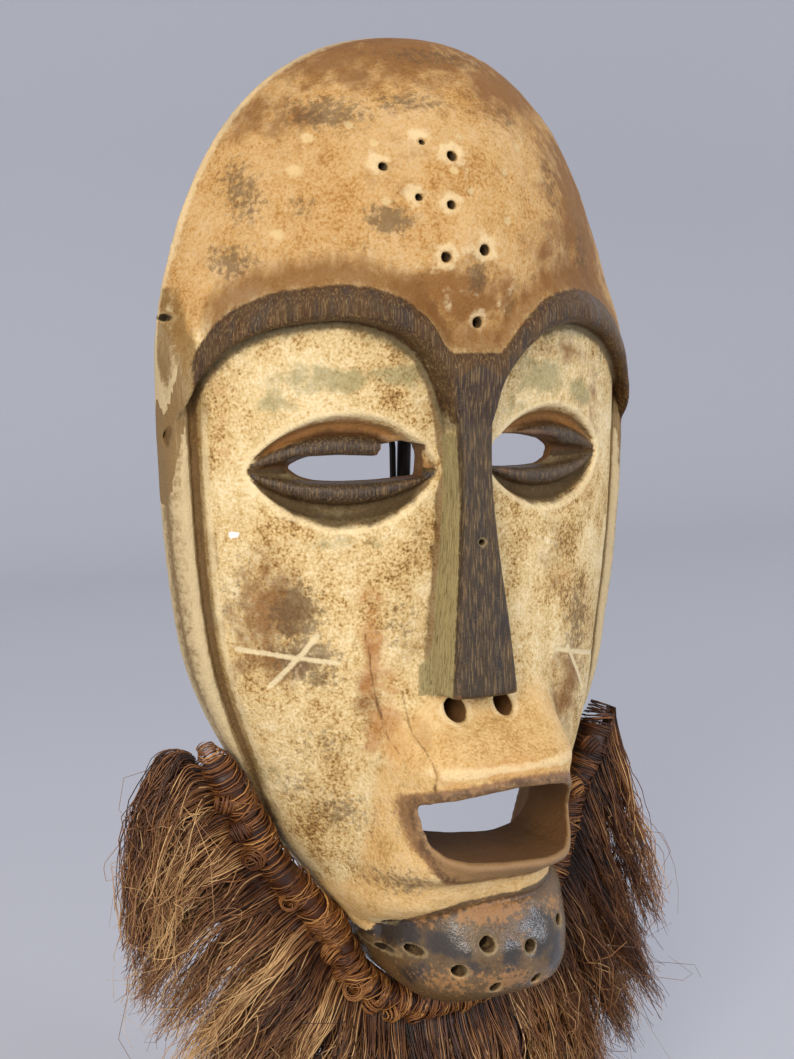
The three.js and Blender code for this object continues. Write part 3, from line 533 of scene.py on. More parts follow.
OCHRE = [
    (-40, 150, 6, 30, 0.8), (-36, 118, 7, 16, 0.8), (-78, 165, 5, 12, 0.4), (-20, 100, 12, 10, 0.6),
    (4, 104, 30, 6, 0.8), (-90, 240, 6, 30, 0.5), (-34, 135, 9, 8, 0.7), (66, 205, 14, 8, 0.5),
    (54, 170, 12, 14, 0.5), (-14, 180, 8, 12, 0.4), (-62, 205, 14, 6, 0.4),
]
GREEN = [
    (-55, 252, 22, 6, 0.9), (-30, 254, 18, 6, 0.9), (-74, 243, 10, 8, 0.7), (38, 252, 20, 8, 0.9),
    (62, 246, 12, 8, 0.8), (22, 240, 8, 12, 0.6), (-50, 190, 26, 5, 0.6), (-70, 96, 14, 14, 0.4),
    (4, 48, 34, 4, 0.8), (-92, 150, 6, 40, 0.4),
]
# Where the forehead and the cheeks are rubbed down to brown wood.
BROWN = [
    (-20, 384, 70, 27, 1.0), (-66, 352, 26, 16, 0.7), (30, 368, 40, 20, 0.9), (64, 316, 32, 56, 1.0),
    (40, 300, 26, 22, 0.7), (-10, 284, 34, 14, 1.0), (-50, 292, 26, 9, 0.5), (-98, 300, 8, 30, 0.3),
    (-30, 330, 22, 22, 0.4), (-76, 165, 14, 26, 0.9), (-72, 143, 18, 12, 0.8), (56, 124, 14, 24, 0.8),
    (50, 178, 16, 22, 0.5), (-26, 116, 8, 10, 0.6), (-40, 131, 6, 24, 0.7), (-25, 153, 8, 18, 0.4),
    (70, 240, 14, 22, 0.5), (55, 262, 20, 8, 0.7), (-92, 130, 8, 20, 0.5), (-60, 70, 12, 14, 0.4),
]
# Where the chin's dark resin is thickest, and where it is rubbed off again.
CHIN_DARK = [
    (-27, 33, 8, 12, 1.0), (-12, 30, 7, 7, 0.9), (26, 31, 9, 10, 1.0), (11, 24, 5, 9, 0.8),
    (34, 20, 6, 12, 0.8), (-2, 20, 8, 5, 0.6), (18, 8, 10, 4, 0.5), (-20, 14, 6, 8, 0.6),
]
CHIN_TAN = [
    (4, 41, 19, 5, 1.0), (-21, 39, 8, 4, 0.9), (9, 13, 16, 6, 0.9), (-12, 14, 9, 6, 0.8),
    (-36, 32, 6, 14, 0.8), (28, 8, 9, 6, 0.7), (17, 29, 4, 4, 0.6), (36, 38, 8, 4, 0.8),
]


def blotches(places, x, z):
    """How thickly a list of soft-edged places covers each point, from 0 to 1."""
    cover = np.zeros(x.shape)
    for px, pz, wide, high, strength in places:
        cover = np.maximum(cover, strength * np.exp(-((x - px) / wide) ** 2 - ((z - pz) / high) ** 2))
    return cover


FAR = -9  # a mark's distance where its place is far away


def marks_on(points):
    """How far each point is, in millimetres, inside the places that the carver stained, cut or wore, and
    inside those darkened or lightened as painted shade and painted highlight.
    """
    x, f, z = points[:, 0] / MM, -points[:, 1] / MM, points[:, 2] / MM - LIFT
    edge = brow_edge(x)
    above = z - edge - root_rise(x, edge)
    brow_end = np.where(x < 0, BAND["paint_right"], BAND["paint_left"]) - np.abs(x)
    in_brow = np.minimum(np.minimum(z - edge + 0.6, BAND["height"] - above), brow_end)
    middle, half, front = stations(NOSE, z)
    past_root = 2.0 * np.clip(z - 252, 0, None)
    nose_side = np.where(z > NOSE[0][0] - 1, half - np.abs(x - middle), FAR) - past_root
    face = section(x, z, FACE, 1)
    lid, upper, lower = np.full((3, len(x)), float(FAR))
    lid_line, lid_thick = LID_PAINT
    for eye in EYES:
        along = (x - eye["x"]) / eye["half"]
        lens = almond(along)
        broken = (x > (eye["broken_from"] or 999)) & (z > eye["z"])
        rise = z - eye["z"]
        reach = np.where(rise > 0, eye["up"], -eye["down"]) * lens
        off = np.abs(reach) * lid_thick + 0.5 - np.abs(rise - reach * lid_line)
        lid = np.maximum(lid, np.where((np.abs(along) < 0.975) & ~broken, off, FAR))
        near = np.abs(along) < 1.1
        upper = np.maximum(upper, np.where(near & (rise > -1), eye["up"] * lens - rise, FAR))
        lower = np.maximum(lower, np.where(near & (rise < 1), eye["down"] * lens + rise, FAR))
    bored = np.min([np.hypot(x - hx, z - hz) - r for hx, hz, r, _ in HOLES], axis=0)
    ledge = stations(SIDE, z)[1]
    band = np.where(ledge > 1, np.abs(x - lean(z)) - (wood_half_width(z) - ledge), FAR)
    worn = sampled(smooth_wood, x, f, z)
    lip_width = LIP["paint"] + LIP["paint_below"] * ease(84, 70, z) * ease(-32, -20, x)
    wander = roughened(x, z, *WANDER)
    chin = form(x, z, CHIN, **CHIN_FORM) - face
    nose_front = np.minimum(nose_side + 0.8, f - front + 3.5)
    flank = np.minimum(np.minimum(np.minimum(nose_side + 6, 2 * (f - face - 0.8)), edge - 4 - z), 1)
    dark = np.maximum(lid, nose_front)
    return {
        "forehead": above,
        "brow": in_brow,
        "brow_groove": np.minimum(4.5 - np.abs(above - 17), 93 - np.abs(x)),
        "under_brow": np.where((z < edge) & (np.abs(x) < 98), 9 - (edge - z), FAR),
        "nose_front": nose_front,
        "flank": flank,
        "lid": lid,
        "socket_up": upper,
        "socket_down": lower,
        "lips": lip_width - outline_distance(MOUTH["front"], x, z),
        "chin": chin,
        "muzzle": form(x, z, MUZZLE, **MUZZLE_FORM) - face,
        "under_skin": -sampled(before_cuts, x, f, z),
        "worn": worn,
        "pale_worn": np.where(np.abs(z - edge - 7) < 16, FAR, worn),
        # Convex edges of the dark parts: resin rubbed through there, and a painted highlight along them.
        "dark_worn_and_highlight": np.where(np.maximum(dark, chin - 3) > 0, worn, FAR),
        "dark": np.minimum(np.maximum(dark, in_brow), 1),
        "pit": np.max([1 - np.hypot(x - px, z - pz) / radius for px, pz, radius in PITS], axis=0),
        "chip": CHIP[2] - np.hypot(x - CHIP[0], z - CHIP[1]),
        "chin_dark": np.where(chin > 0, blotches(CHIN_DARK, x, z), 0),
        "chin_tan": np.where(chin > 0, blotches(CHIN_TAN, x, z), 0),
        "brown": blotches(BROWN, x, z),
        "scar": 1.0 - closest(SCARS, x, z),
        "crack": 0.5 - closest(CRACKS, x + wander, z),
        "bored": -bored,
        "temple": band + wander,
        "soot": blotches(SOOT, x, z),
        "ochre": blotches(OCHRE, x, z),
        "green": blotches(GREEN, x, z),
    }


# The same carving worn smooth: its distance from the real surface tells edges from hollows.
smooth_wood = smoothed(wood_field, 3)
vertices = np.empty(len(mask.data.vertices) * 3)
mask.data.vertices.foreach_get("co", vertices)
set_marks(mask, marks_on(vertices.reshape(-1, 3)))


def linear(colour):
    """An sRGB hex colour as the linear RGBA that the nodes work in."""
    channels = [int(colour[i:i + 2], 16) / 255 for i in (1, 3, 5)]
    return [c / 12.92 if c <= 0.04045 else ((c + 0.055) / 1.055) ** 2.4 for c in channels] + [1.0]


def add(tree, kind, settings=None, links=None):
    """Adds a node. A setting goes to a property or to the input of that name or number. A link goes to an
    input, from another node's output or, where the node itself is given, from its first one."""
    node = tree.nodes.new(kind)
    for name, value in (settings or {}).items():
        if isinstance(name, str) and hasattr(node, name):
            setattr(node, name, value)
        else:
            node.inputs[name].default_value = value
    for name, source in (links or {}).items():
        tree.links.new(getattr(source, "outputs", [source])[0], node.inputs[name])
    return node


def new_finish(name):
    """A new material and its empty tree of nodes."""
    finish = bpy.data.materials.new(name)
    finish.use_nodes = True
    finish.node_tree.nodes.clear()
    return finish, finish.node_tree


def colour_ramp(tree, stops, value):
    """The colours of a ramp over a value from 0 to 1, from pairs of a place and a colour."""
    ramp = add(tree, "ShaderNodeValToRGB", {}, {"Fac": value})
    for stop, (at, colour) in enumerate(stops):
        element = ramp.color_ramp.elements[stop] if stop < 2 else ramp.color_ramp.elements.new(at)
        element.position, element.color = at, linear(colour)
    return ramp


# Each stain, from the bottom up: its colour, the mark it follows, where it starts and where it is full, how
# ragged its edge is and by which of the grains below, how much it covers and how rough it leaves the wood.
# A few of them are painted shade or a painted highlight, as marked where they stand.
STAINS = [
    ("#b5803f", "forehead", 10, 22, 10, "broad", 0.55, 0.60),
    ("#7a5027", "brown", 0.25, 0.90, 0.8, "mid", 0.84, 0.58),
    ("#ecdaae", "temple", 1.0, 3.5, 5, "runs", 0.80, 0.50),
    ("#6d5230", "temple", 2.5, 7.0, 9, "hairs", 0.60, 0.50),
    ("#75592f", "temple", -4.0, -1.0, 3, "runs", 0.75, 0.55),
    ("#86835c", "green", 0.35, 0.8, 0.9, "mid", 0.60, 0.60),
    ("#ac6f34", "ochre", 0.3, 0.8, 0.9, "mid", 0.60, 0.60),
    ("#d9ac6c", "muzzle", 2, 9, 8, "broad", 0.50, 0.50),
    ("#5f4c36", "soot", 0.32, 0.8, 1.0, "fine", 0.70, 0.65),
    ("#644a2c", "worn", -0.12, -0.45, 0.3, "fine", 0.75, 0.75),
    ("#efdcae", "pale_worn", 0.14, 0.40, 0.3, "fine", 0.50, 0.50),
    # A dark olive band just under the brow ledge: greenish kaolin, darkened further as painted shade.
    ("#5d5a44", "under_brow", 2, 9, 7, "mid", 0.65, 0.60),
    ("#8f6030", "socket_up", 1.0, 4, 4, "mid", 0.80, 0.60),
    ("#3e2816", "socket_up", 5, 9, 3, "mid", 0.90, 0.50),
    ("#463823", "socket_down", 0.5, 3, 3, "mid", 0.85, 0.60),
    ("#7a5228", "brow_groove", -6, 3, 6, "runs", 0.80, 0.55),
    ("#402710", "brow", -0.8, 0.6, 1.6, "fine", 0.96, 0.46),
    ("#7d5530", "lips", -0.6, 1.4, 2.0, "fine", 0.88, 0.34),
    ("#3a2412", "lips", 0.6, 3.5, 5, "mid", 0.70, 0.36),
    ("#b08a58", "lips", 2.0, 5.5, 7, "fine", 0.50, 0.34),
    ("#4d371f", "chin", 2.0, 4.5, 4, "mid", 0.92, 0.24),
    ("#2b2826", "chin_dark", 0.25, 0.7, 0.8, "mid", 0.92, 0.17),
    ("#a87a48", "chin_tan", 0.35, 0.85, 1.6, "fine", 0.72, 0.34),
    ("#988b60", "flank", -0.4, 0.6, 0.8, "runs", 0.90, 0.50),
    ("#564b2e", "flank", 0.4, 3.6, 6, "hairs", 0.85, 0.50),
    ("#301f0d", "nose_front", -0.2, 0.8, 1.2, "fine", 0.95, 0.38),
    ("#35230f", "lid", -0.2, 0.8, 1.0, "fine", 0.92, 0.32),
    ("#140c06", "dark", 0.0, 3.0, 5, "runs", 0.75, 0.34),
    ("#9c7f52", "dark", 0.4, 4.0, 7, "hairs", 0.46, 0.42),
    # Lighter brown on the convex edges of the dark parts: worn resin, and a painted highlight along the
    # edges.
    ("#8a5c30", "dark_worn_and_highlight", 0.80, 1.4, 0.5, "mid", 0.60, 0.34),
    ("#69492a", "under_skin", 0.8, 1.8, 0.8, "fine", 0.95, 0.70),
    # Darker the deeper the wood lies below the carved face: raw dark wood inside the hollow, and painted
    # shade deep in the eye slots, the mouth and the nostrils.
    ("#33210f", "under_skin", 9, 34, 9, "mid", 0.60, 0.80),
    ("#dfc590", "pit", 0.05, 0.6, 0.4, "fine", 0.70, 0.60),
    ("#f6f4f0", "chip", 0.0, 0.4, 0.6, "fine", 0.95, 0.55),
    ("#ead8ac", "scar", -0.4, 0.5, 0.8, "fine", 0.85, 0.60),
    ("#5d4024", "crack", 0.0, 0.4, 0.5, "mid", 0.50, 0.80),
    ("#e0c894", "bored", -1.3, -0.3, 1.4, "fine", 0.22, 0.60),
    # Painted shade: near black inside the bored holes.
    ("#1b120b", "bored", -0.3, 0.3, 0.4, "fine", 0.96, 0.90),
]

# Kaolin white and ochre rubbed over carved hardwood, dark resin on brows, nose, lids and chin, all worn by
# handling: chalky cream with brown showing through, and a low gloss where hands polished it.
# Painted shade darkens the band under the brows, the bored holes and the deep insides of the openings; a
# painted highlight lightens the edges of the dark parts.
kaolin, tree = new_finish("kaolin_rubbed_hardwood")
place = add(tree, "ShaderNodeTexCoord").outputs["Object"]
lengthwise = add(tree, "ShaderNodeMapping", {"Scale": (1, 1, 0.12)}, {"Vector": place})
upright = add(tree, "ShaderNodeMapping", {"Scale": (1, 1, 0.05)}, {"Vector": place})
grains = {}
for grain, size, detail, roughness, along in [
    ("broad", 0.030, 5, 0.6, place), ("mid", 0.009, 6, 0.65, place), ("fine", 0.0024, 5, 0.7, place),
    ("speck", 0.0011, 2, 0.6, place), ("runs", 0.0045, 5, 0.65, lengthwise),
    ("hairs", 0.0006, 3, 0.6, upright),
]:
    lumps = add(tree, "ShaderNodeTexNoise", {"Scale": 1 / size, "Detail": detail, "Roughness": roughness},
                {"Vector": along})
    parts = add(tree, "ShaderNodeSeparateColor", {}, {"Color": lumps.outputs["Color"]})
    grains[grain] = list(parts.outputs)
# The wood's own tone, from rubbed-through brown to thick kaolin.
tone = add(tree, "ShaderNodeMath", {"operation": "MULTIPLY", 1: 0.8}, {0: grains["broad"][1]})
for grain, weight in [("mid", 0.55), ("fine", 0.55), ("speck", 0.8)]:
    tone = add(tree, "ShaderNodeMath", {"operation": "MULTIPLY_ADD", 1: weight},
               {0: grains[grain][0], 2: tone})
halved = add(tree, "ShaderNodeMath", {"operation": "MULTIPLY", 1: 0.5}, {0: tone})
colour = colour_ramp(tree, [
    (0.51, "#664825"), (0.585, "#a5814c"), (0.64, "#ccae76"), (0.70, "#ddc48f"), (0.80, "#eedbb0"),
], halved)
rough = add(tree, "ShaderNodeMapRange", {"To Min": 0.75, "To Max": 0.5}, {"Value": grains["mid"][1]})
for order, (tint, mark, low, high, ragged, grain, share, gloss) in enumerate(STAINS):
    distance = add(tree, "ShaderNodeAttribute", {"attribute_name": mark}).outputs["Fac"]
    moved = add(tree, "ShaderNodeMath", {"operation": "MULTIPLY_ADD", 1: ragged * 2.0},
                {0: grains[grain][order % 3], 2: distance})
    low, high = low + ragged, high + ragged
    amount = add(tree, "ShaderNodeMapRange",
                 {"interpolation_type": "SMOOTHSTEP", "From Min": low, "From Max": high, "To Max": share},
                 {"Value": moved})
    colour = add(tree, "ShaderNodeMix", {"data_type": "RGBA", 7: linear(tint)},
                 {0: amount, 6: colour}).outputs[2]
    rough = add(tree, "ShaderNodeMix", {3: gloss}, {0: amount, 2: rough})
relief = add(tree, "ShaderNodeMath", {"operation": "MULTIPLY_ADD", 1: 0.5},
             {0: grains["speck"][1], 2: grains["fine"][1]})
relief = add(tree, "ShaderNodeMath", {"operation": "MULTIPLY_ADD", 1: 0.9}, {0: grains["mid"][0], 2: relief})
# Where hands polished the wood it is smooth and shiny; chalky wood is grainy and hardly shines.
grainy = add(tree, "ShaderNodeMapRange", {"From Min": 0.2, "From Max": 0.6, "To Min": 0.25, "To Max": 0.95},
             {"Value": rough})
shine = add(tree, "ShaderNodeMapRange", {"From Min": 0.2, "From Max": 0.5, "To Min": 0.7, "To Max": 0.12},
            {"Value": rough})
bump = add(tree, "ShaderNodeBump", {"Distance": 0.0011}, {"Height": relief, "Strength": grainy})
skin = add(tree, "ShaderNodeBsdfPrincipled", {"IOR": 1.5},
           {"Base Color": colour, "Roughness": rough, "Specular IOR Level": shine, "Normal": bump})
add(tree, "ShaderNodeOutputMaterial", {}, {"Surface": skin})

mask.data.materials.clear()
mask.data.materials.append(kaolin)
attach(mask, "root")
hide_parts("mask")


# The beard's cord is a thick core of plant fibre laced to the jaw's edge and wound round and round with the
# same fibre in short bundles, with knots where tresses were tied in.
BEARD_TOPS = dict(right=111, left=106)  # how high the cord's two ends are on the wood
# How far out from the wood's edge and forward of its back rim the cord's middle is, and half its section.
CORD = dict(gap=8.2, forward=12.5, thick=7.2, wide=10)
CORD_LENGTH = 331
WIND_STEP = 0.62  # how far the winding moves along the cord with each turn, in millimetres
RING = 14  # points of a strand in each turn
STRAND_END = 0.12  # how thin a wound strand is at its ends, in millimetres


def jaw_edge(share):
    """Points of the jaw's edge from the beard's top on the mask's right to that on its left, in
    millimetres, with the directions along it and straight out from the wood, all as x and z."""
    fall = WOOD["widest"] - WOOD["bottom"]

    def angle_at(z):
        return math.asin(((WOOD["widest"] - z) / fall) ** (JAW_POWER / 2))

    def point(angle):
        z = WOOD["widest"] - fall * np.sin(angle) ** (2 / JAW_POWER)
        return np.stack([lean(z) - np.sign(np.cos(angle)) * wood_half_width(z), z], axis=-1)

    start, end = angle_at(BEARD_TOPS["right"]), math.pi - angle_at(BEARD_TOPS["left"])
    angle = start + (end - start) * np.asarray(share, float)
    along = point(angle + 0.01) - point(angle - 0.01)
    along /= np.linalg.norm(along, axis=-1, keepdims=True)
    return point(angle), along, np.stack([along[..., 1], -along[..., 0]], axis=-1)


def strand_tree(finish):
    """Geometry Nodes that turn lines of points into closed strands, each point as thick as it says."""
    tree = bpy.data.node_groups.new("spun_strands", "GeometryNodeTree")
    for name, kind in [("Lines", "NodeSocketGeometry"), ("Sides", "NodeSocketInt")]:
        tree.interface.new_socket(name, in_out="INPUT", socket_type=kind)
    tree.interface.new_socket("Strands", in_out="OUTPUT", socket_type="NodeSocketGeometry")
    given = add(tree, "NodeGroupInput")
    thick = add(tree, "GeometryNodeInputNamedAttribute", {"data_type": "FLOAT", "Name": "thick"})
    lines = add(tree, "GeometryNodeMeshToCurve", {}, {"Mesh": given.outputs["Lines"]})
    ring = add(tree, "GeometryNodeCurvePrimitiveCircle", {"Radius": 1.0},
               {"Resolution": given.outputs["Sides"]})
    strands = add(tree, "GeometryNodeCurveToMesh", {"Fill Caps": True},
                  {"Curve": lines, "Profile Curve": ring, "Scale": thick})
    smooth = add(tree, "GeometryNodeSetShadeSmooth", {}, {"Geometry": strands})
    real = add(tree, "GeometryNodeRealizeInstances", {}, {"Geometry": smooth})
    dyed = add(tree, "GeometryNodeSetMaterial", {"Material": finish}, {"Geometry": real})
    add(tree, "NodeGroupOutput", {}, {"Strands": dyed})
    return tree


def spun(name, lines, thick, tone, finish, sides):
    """One mesh of strands: each strand's points in metres, and its radius and shade at each point."""
    mesh = bpy.data.meshes.new(name)
    counts = [len(line) for line in lines]
    starts = np.cumsum([0] + counts[:-1])
    edges = [(s + i, s + i + 1) for s, n in zip(starts, counts) for i in range(n - 1)]
    mesh.from_pydata(np.concatenate(lines).tolist(), edges, [])
    piece = in_scene(name, mesh)
    set_marks(piece, {"thick": np.concatenate(thick), "tone": np.concatenate(tone)})
    tree = strand_tree(finish)
    spinner = piece.modifiers.new("spinner", "NODES")
    spinner.node_group = tree
    for socket in tree.interface.items_tree:
        if socket.name == "Sides":
            spinner[socket.identifier] = sides
    applied(piece)
    faced_out(piece.data)
    return piece


def fibre_finish(name, stops, gloss):
    """Retted plant fibre, its shade from each strand's own tone and a fine mottle."""
    finish, tree = new_finish(name)
    tone = add(tree, "ShaderNodeAttribute", {"attribute_name": "tone"}).outputs["Fac"]
    place = add(tree, "ShaderNodeTexCoord").outputs["Object"]
    mottle = add(tree, "ShaderNodeTexNoise", {"Scale": 1 / 0.009, "Detail": 3}, {"Vector": place})
    moved = add(tree, "ShaderNodeMath", {"operation": "MULTIPLY_ADD", 1: 0.5},
                {0: mottle.outputs["Fac"], 2: tone})
    shade = add(tree, "ShaderNodeMath", {"operation": "SUBTRACT", 1: 0.25}, {0: moved})
    hair = add(tree, "ShaderNodeBsdfPrincipled", {"IOR": 1.5, "Roughness": gloss},
               {"Base Color": colour_ramp(tree, stops, shade)})
    add(tree, "ShaderNodeOutputMaterial", {}, {"Surface": hair})
    return finish


# Retted plant fibre, unspun: red-brown with pale golden strands, and a silky shine along each strand.
wound_fibre = fibre_finish("wound_plant_fibre",
                           [(0.0, "#241208"), (0.35, "#5e3418"), (0.7, "#94602e"), (1.0, "#cb9858")], 0.5)
chance = np.random.default_rng(9)


def round_cord(share, angle, size, slide):
    """Points round the cord's flattened section, slid along it, in millimetres."""
    at, along, out = jaw_edge(share)
    flat = np.sign(np.cos(angle)) * np.abs(np.cos(angle)) ** 0.8
    off = CORD["gap"] + flat * CORD["thick"] * size
    forward = CORD["forward"] + np.sin(angle) * CORD["wide"] * size
    place = at + out * off[:, None] + along * slide[:, None]
    return np.stack([place[:, 0], -forward, place[:, 1] + LIFT], axis=1)


def cord_size(share):
    """The cord's size along its way: thinner at its two ends and a little uneven between them."""
    close = ease(0, 0.02, share) * ease(1, 0.98, share)
    return (0.5 + 0.5 * close) * (1 + 0.05 * np.sin(share * 95) + 0.03 * np.sin(share * 211))


lines, thick, tone = [], [], []


def wind(points, radius, shade):
    """Keeps one strand, with its ends thinned so that they tuck in, and darker toward the mask's left end as
    painted shade.
    """
    count = len(points)
    fade = np.minimum(1, np.minimum(np.arange(count), np.arange(count)[::-1]) / 3)
    lines.append((points + chance.normal(0, 0.12, (count, 3))) * MM)
    thick.append((STRAND_END + (radius - STRAND_END) * fade) * MM)
    # Painted shade: strands darken toward the mask's left end, x 60 to 95 mm, the side turned away from the
    # lamps.
    tone.append(np.clip(shade - 0.3 * ease(60, 95, points[:, 0]) + chance.normal(0, 0.05, count), 0, 1))


start = 0.0
while start < CORD_LENGTH:
    turns = int(chance.integers(3, 8))
    tilt, fat, shade = chance.normal(0, 2.2), chance.normal(1.0, 0.05), chance.uniform(0.2, 0.75)
    for _ in range(turns):
        turn = np.arange(RING + 3) / RING
        share = np.clip((start + turn * WIND_STEP) / CORD_LENGTH, 0, 1)
        angle = turn * 2 * math.pi + chance.uniform(0, 6)
        slide = np.sin(angle + 0.6) * (tilt + chance.normal(0, 0.5))
        slide = slide * ease(0, 0.03, share) * ease(1, 0.97, share)
        size = cord_size(share) * fat * (1 + chance.normal(0, 0.015))
        wind(round_cord(share, angle, size, slide),
             chance.uniform(0.26, 0.44), shade + chance.normal(0, 0.16))
        start += WIND_STEP
# A few strands that cross over the winding.
for _ in range(150):
    share = chance.uniform(0.04, 0.96) + np.zeros(10)
    angle = np.linspace(-0.7, 3.6, 10) + chance.normal(0, 0.3)
    slide = np.linspace(-1, 1, 10) * chance.normal(0, 6)
    wind(round_cord(share, angle, cord_size(share) * chance.uniform(1.05, 1.12), slide),
         chance.uniform(0.22, 0.38), chance.uniform(0.3, 0.95))
# The knots of wound strands where tresses are tied in, as share of the way, size and shade.
COILING = 3.4  # coils for each millimetre of a knot's size
KNOT_SUNK = 1.5  # how far a knot sits back from the winding
KNOTS = [(0.045, 4.6, 0.42), (0.075, 5.2, 0.30), (0.105, 5.6, 0.34), (0.16, 4.2, 0.6), (0.21, 4.4, 0.5),
         (0.262, 4.8, 0.66), (0.30, 4.0, 0.5), (0.335, 5.0, 0.75), (0.372, 4.4, 0.6), (0.41, 4.6, 0.7),
         (0.45, 4.0, 0.5), (0.50, 4.4, 0.5), (0.56, 4.2, 0.6), (0.62, 4.6, 0.5), (0.68, 4.2, 0.6),
         (0.74, 4.4, 0.5), (0.80, 4.2, 0.6), (0.86, 4.6, 0.6), (0.915, 5.0, 0.9), (0.96, 4.4, 0.5)]
for share, size, shade in KNOTS:
    facing = np.array([0.75 if share < 0.5 else 2.0])
    middle = round_cord(np.array([share]), facing, np.ones(1), np.zeros(1))[0]
    middle[1] += KNOT_SUNK
    axis = chance.normal(0, 1, 3)
    axis /= np.linalg.norm(axis)
    side = np.cross(axis, (0.3, 0.5, 0.8))
    side /= np.linalg.norm(side)
    other = np.cross(axis, side)
    for coil in range(int(size * COILING)):
        height = -1 + 2 * (coil + 0.5) / (size * COILING)
        angle = np.linspace(0, 2 * math.pi * 1.08, 13) + chance.uniform(0, 6)
        rise = height + np.linspace(-1, 1, 13) * 0.12
        reach = np.sqrt(np.clip(1 - rise**2, 0, 1))
        ball = (side * np.cos(angle)[:, None] + other * np.sin(angle)[:, None]) * reach[:, None]
        wind(middle + (ball + axis * rise[:, None]) * size, chance.uniform(0.28, 0.42),
             shade + chance.normal(0, 0.08))
cord = spun("beard_cord_winding", lines, thick, tone, wound_fibre, 3)
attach(cord, "root")
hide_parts("beard_cord")

CORE_SIDES = 24
CORE_SIZE = 0.86  # as a share of the winding's
rings = []
for share in np.linspace(0.02, 0.98, 93):
    angle = np.linspace(0, 2 * math.pi, CORE_SIDES + 1)[:-1]
    spot = np.full(CORE_SIDES, share)
    ring = round_cord(spot, angle, cord_size(spot) * CORE_SIZE, np.zeros(CORE_SIDES))
    rings.append(ring * MM)


def lofted(name, rings):
    """A closed body over rings of points, with both ends capped."""
    sides = len(rings[0])
    faces = [
        (i * sides + j, i * sides + (j + 1) % sides, (i + 1) * sides + (j + 1) % sides, (i + 1) * sides + j)
        for i in range(len(rings) - 1) for j in range(sides)
    ]
    faces += [tuple(range(sides))[::-1], tuple((len(rings) - 1) * sides + j for j in range(sides))]
    return solid_mesh(name, np.concatenate(rings), faces)


core = lofted("beard_cord_core", rings)
# The core is given a dark tone: painted shade in the gaps between the wound strands.
set_marks(core, {"tone": np.full(len(core.data.vertices), 0.12)})
core.data.materials.append(wound_fibre)
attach(core, "root")
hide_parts("beard_cord")


# The beard itself: tresses of loose plant fibre, each tied in under the cord. They arch over at the top of
# the mask's right side, sweep out below it, hang straight under the chin, and end in thin curling tips.
# Place along the cord, then where a fibre bends and where it ends, from its root, in millimetres.
FLOW = [
    (0.00, -24, 13, -25, -54), (0.06, -28, 3, -37, -44), (0.14, -32, -5, -52, -40),
    (0.22, -29, -12, -54, -44), (0.30, -22, -18, -50, -56), (0.38, -11, -26, -34, -72),
    (0.46, -4, -32, -14, -80), (0.54, 0, -34, 2, -84), (0.62, 4, -30, 14, -86), (0.70, 8, -28, 26, -86),
    (0.78, 10, -24, 38, -84), (0.86, 8, -24, 43, -86), (0.93, 4, -28, 36, -84), (1.00, 0, -34, 24, -90),
]
ROOT_GAP = 14.2  # how far out from the wood's edge the fibres start
TRESSES, STRANDS, STEPS = 84, 90, 16
LAYERS = 7.5  # how far the three layers of tresses lie in front of each other
STRAY = 0.035  # the share of strands that fly loose
HOLD = 0.62  # how far a strand is drawn in to the middle of its tress
SWAYS = [(1.1, 2.6), (2.6, 1.3), (5.5, 0.55)]  # how many waves a strand has and how wide they are
LIMITS = dict(right=-122, give=9.2, left=142, foot=11)  # how far out and down the beard may reach


def fibre_path(share, run):
    """Where fibres are, from 0 at the cord to 1 at the tip: strands by steps by x and z, in millimetres."""
    at, _, out = jaw_edge(share)
    bend_x, bend_z, tip_x, tip_z = stations(FLOW, share)
    root = at + out * ROOT_GAP
    t = run[..., None]
    bent = root + np.stack([bend_x, bend_z], axis=-1)
    tip = root + np.stack([tip_x, tip_z], axis=-1)
    return root[:, None] * (1 - t) ** 2 + bent[:, None] * 2 * t * (1 - t) + tip[:, None] * t**2


def beard_middle(share, run):
    """How far in front of the wood's back rim the beard hangs, from its roots to its tips."""
    return 12 + 6 * np.sin(np.pi * share)[:, None] ** 2 * ease(0, 0.4, run)


# The same fibre left loose: darker at the roots and sun-bleached at the tips, each strand its own shade.
chance = np.random.default_rng(27)
loose_fibre = fibre_finish("loose_plant_fibre",
                           [(0.0, "#180c06"), (0.35, "#54301a"), (0.7, "#8f6036"), (1.0, "#d8b078")], 0.42)
count = TRESSES * STRANDS
tress = np.repeat(np.arange(TRESSES), STRANDS)
tress_share = (np.arange(TRESSES) + 0.5) / TRESSES + chance.normal(0, 0.005, TRESSES)
tress_share = np.clip(tress_share, 0.003, 0.997)[tress]
share = np.clip(tress_share + chance.normal(0, 0.012, count), 0.0, 1.0)
broken = chance.random(count) < 0.2
reach = np.where(broken, chance.uniform(0.55, 0.85, count), chance.uniform(0.86, 1.05, count))
stray = chance.random(count) < STRAY
reach = np.where(stray, reach + 0.12, reach)
run = np.linspace(0, 1, STEPS) * reach[:, None]
apart = fibre_path(share, run)
gathered = fibre_path(tress_share, run)
pull = chance.normal(0, 3.6, (TRESSES, 2))[tress][:, None, :]
hold = (HOLD * ease(0.05, 0.5, run) * ease(1.25, 0.8, run))[..., None]
flat = apart + (gathered - apart) * hold + pull * (run**2)[..., None]
spread = 0.25 + 0.75 * ease(0, 0.35, run)
layer = (tress % 3)[:, None]
level = (layer - 1) * LAYERS * (1 - 0.35 * run) + chance.normal(0, 1.2, TRESSES)[tress][:, None]
deep = chance.uniform(-4.5, 4.5, count)[:, None] * (0.55 + 0.6 * ease(0, 0.5, run) - 0.4 * run)
forward = beard_middle(share, run) + level * spread + deep
lines = np.stack([flat[..., 0], -forward, flat[..., 1] + LIFT], axis=-1)
sway = np.zeros_like(lines)
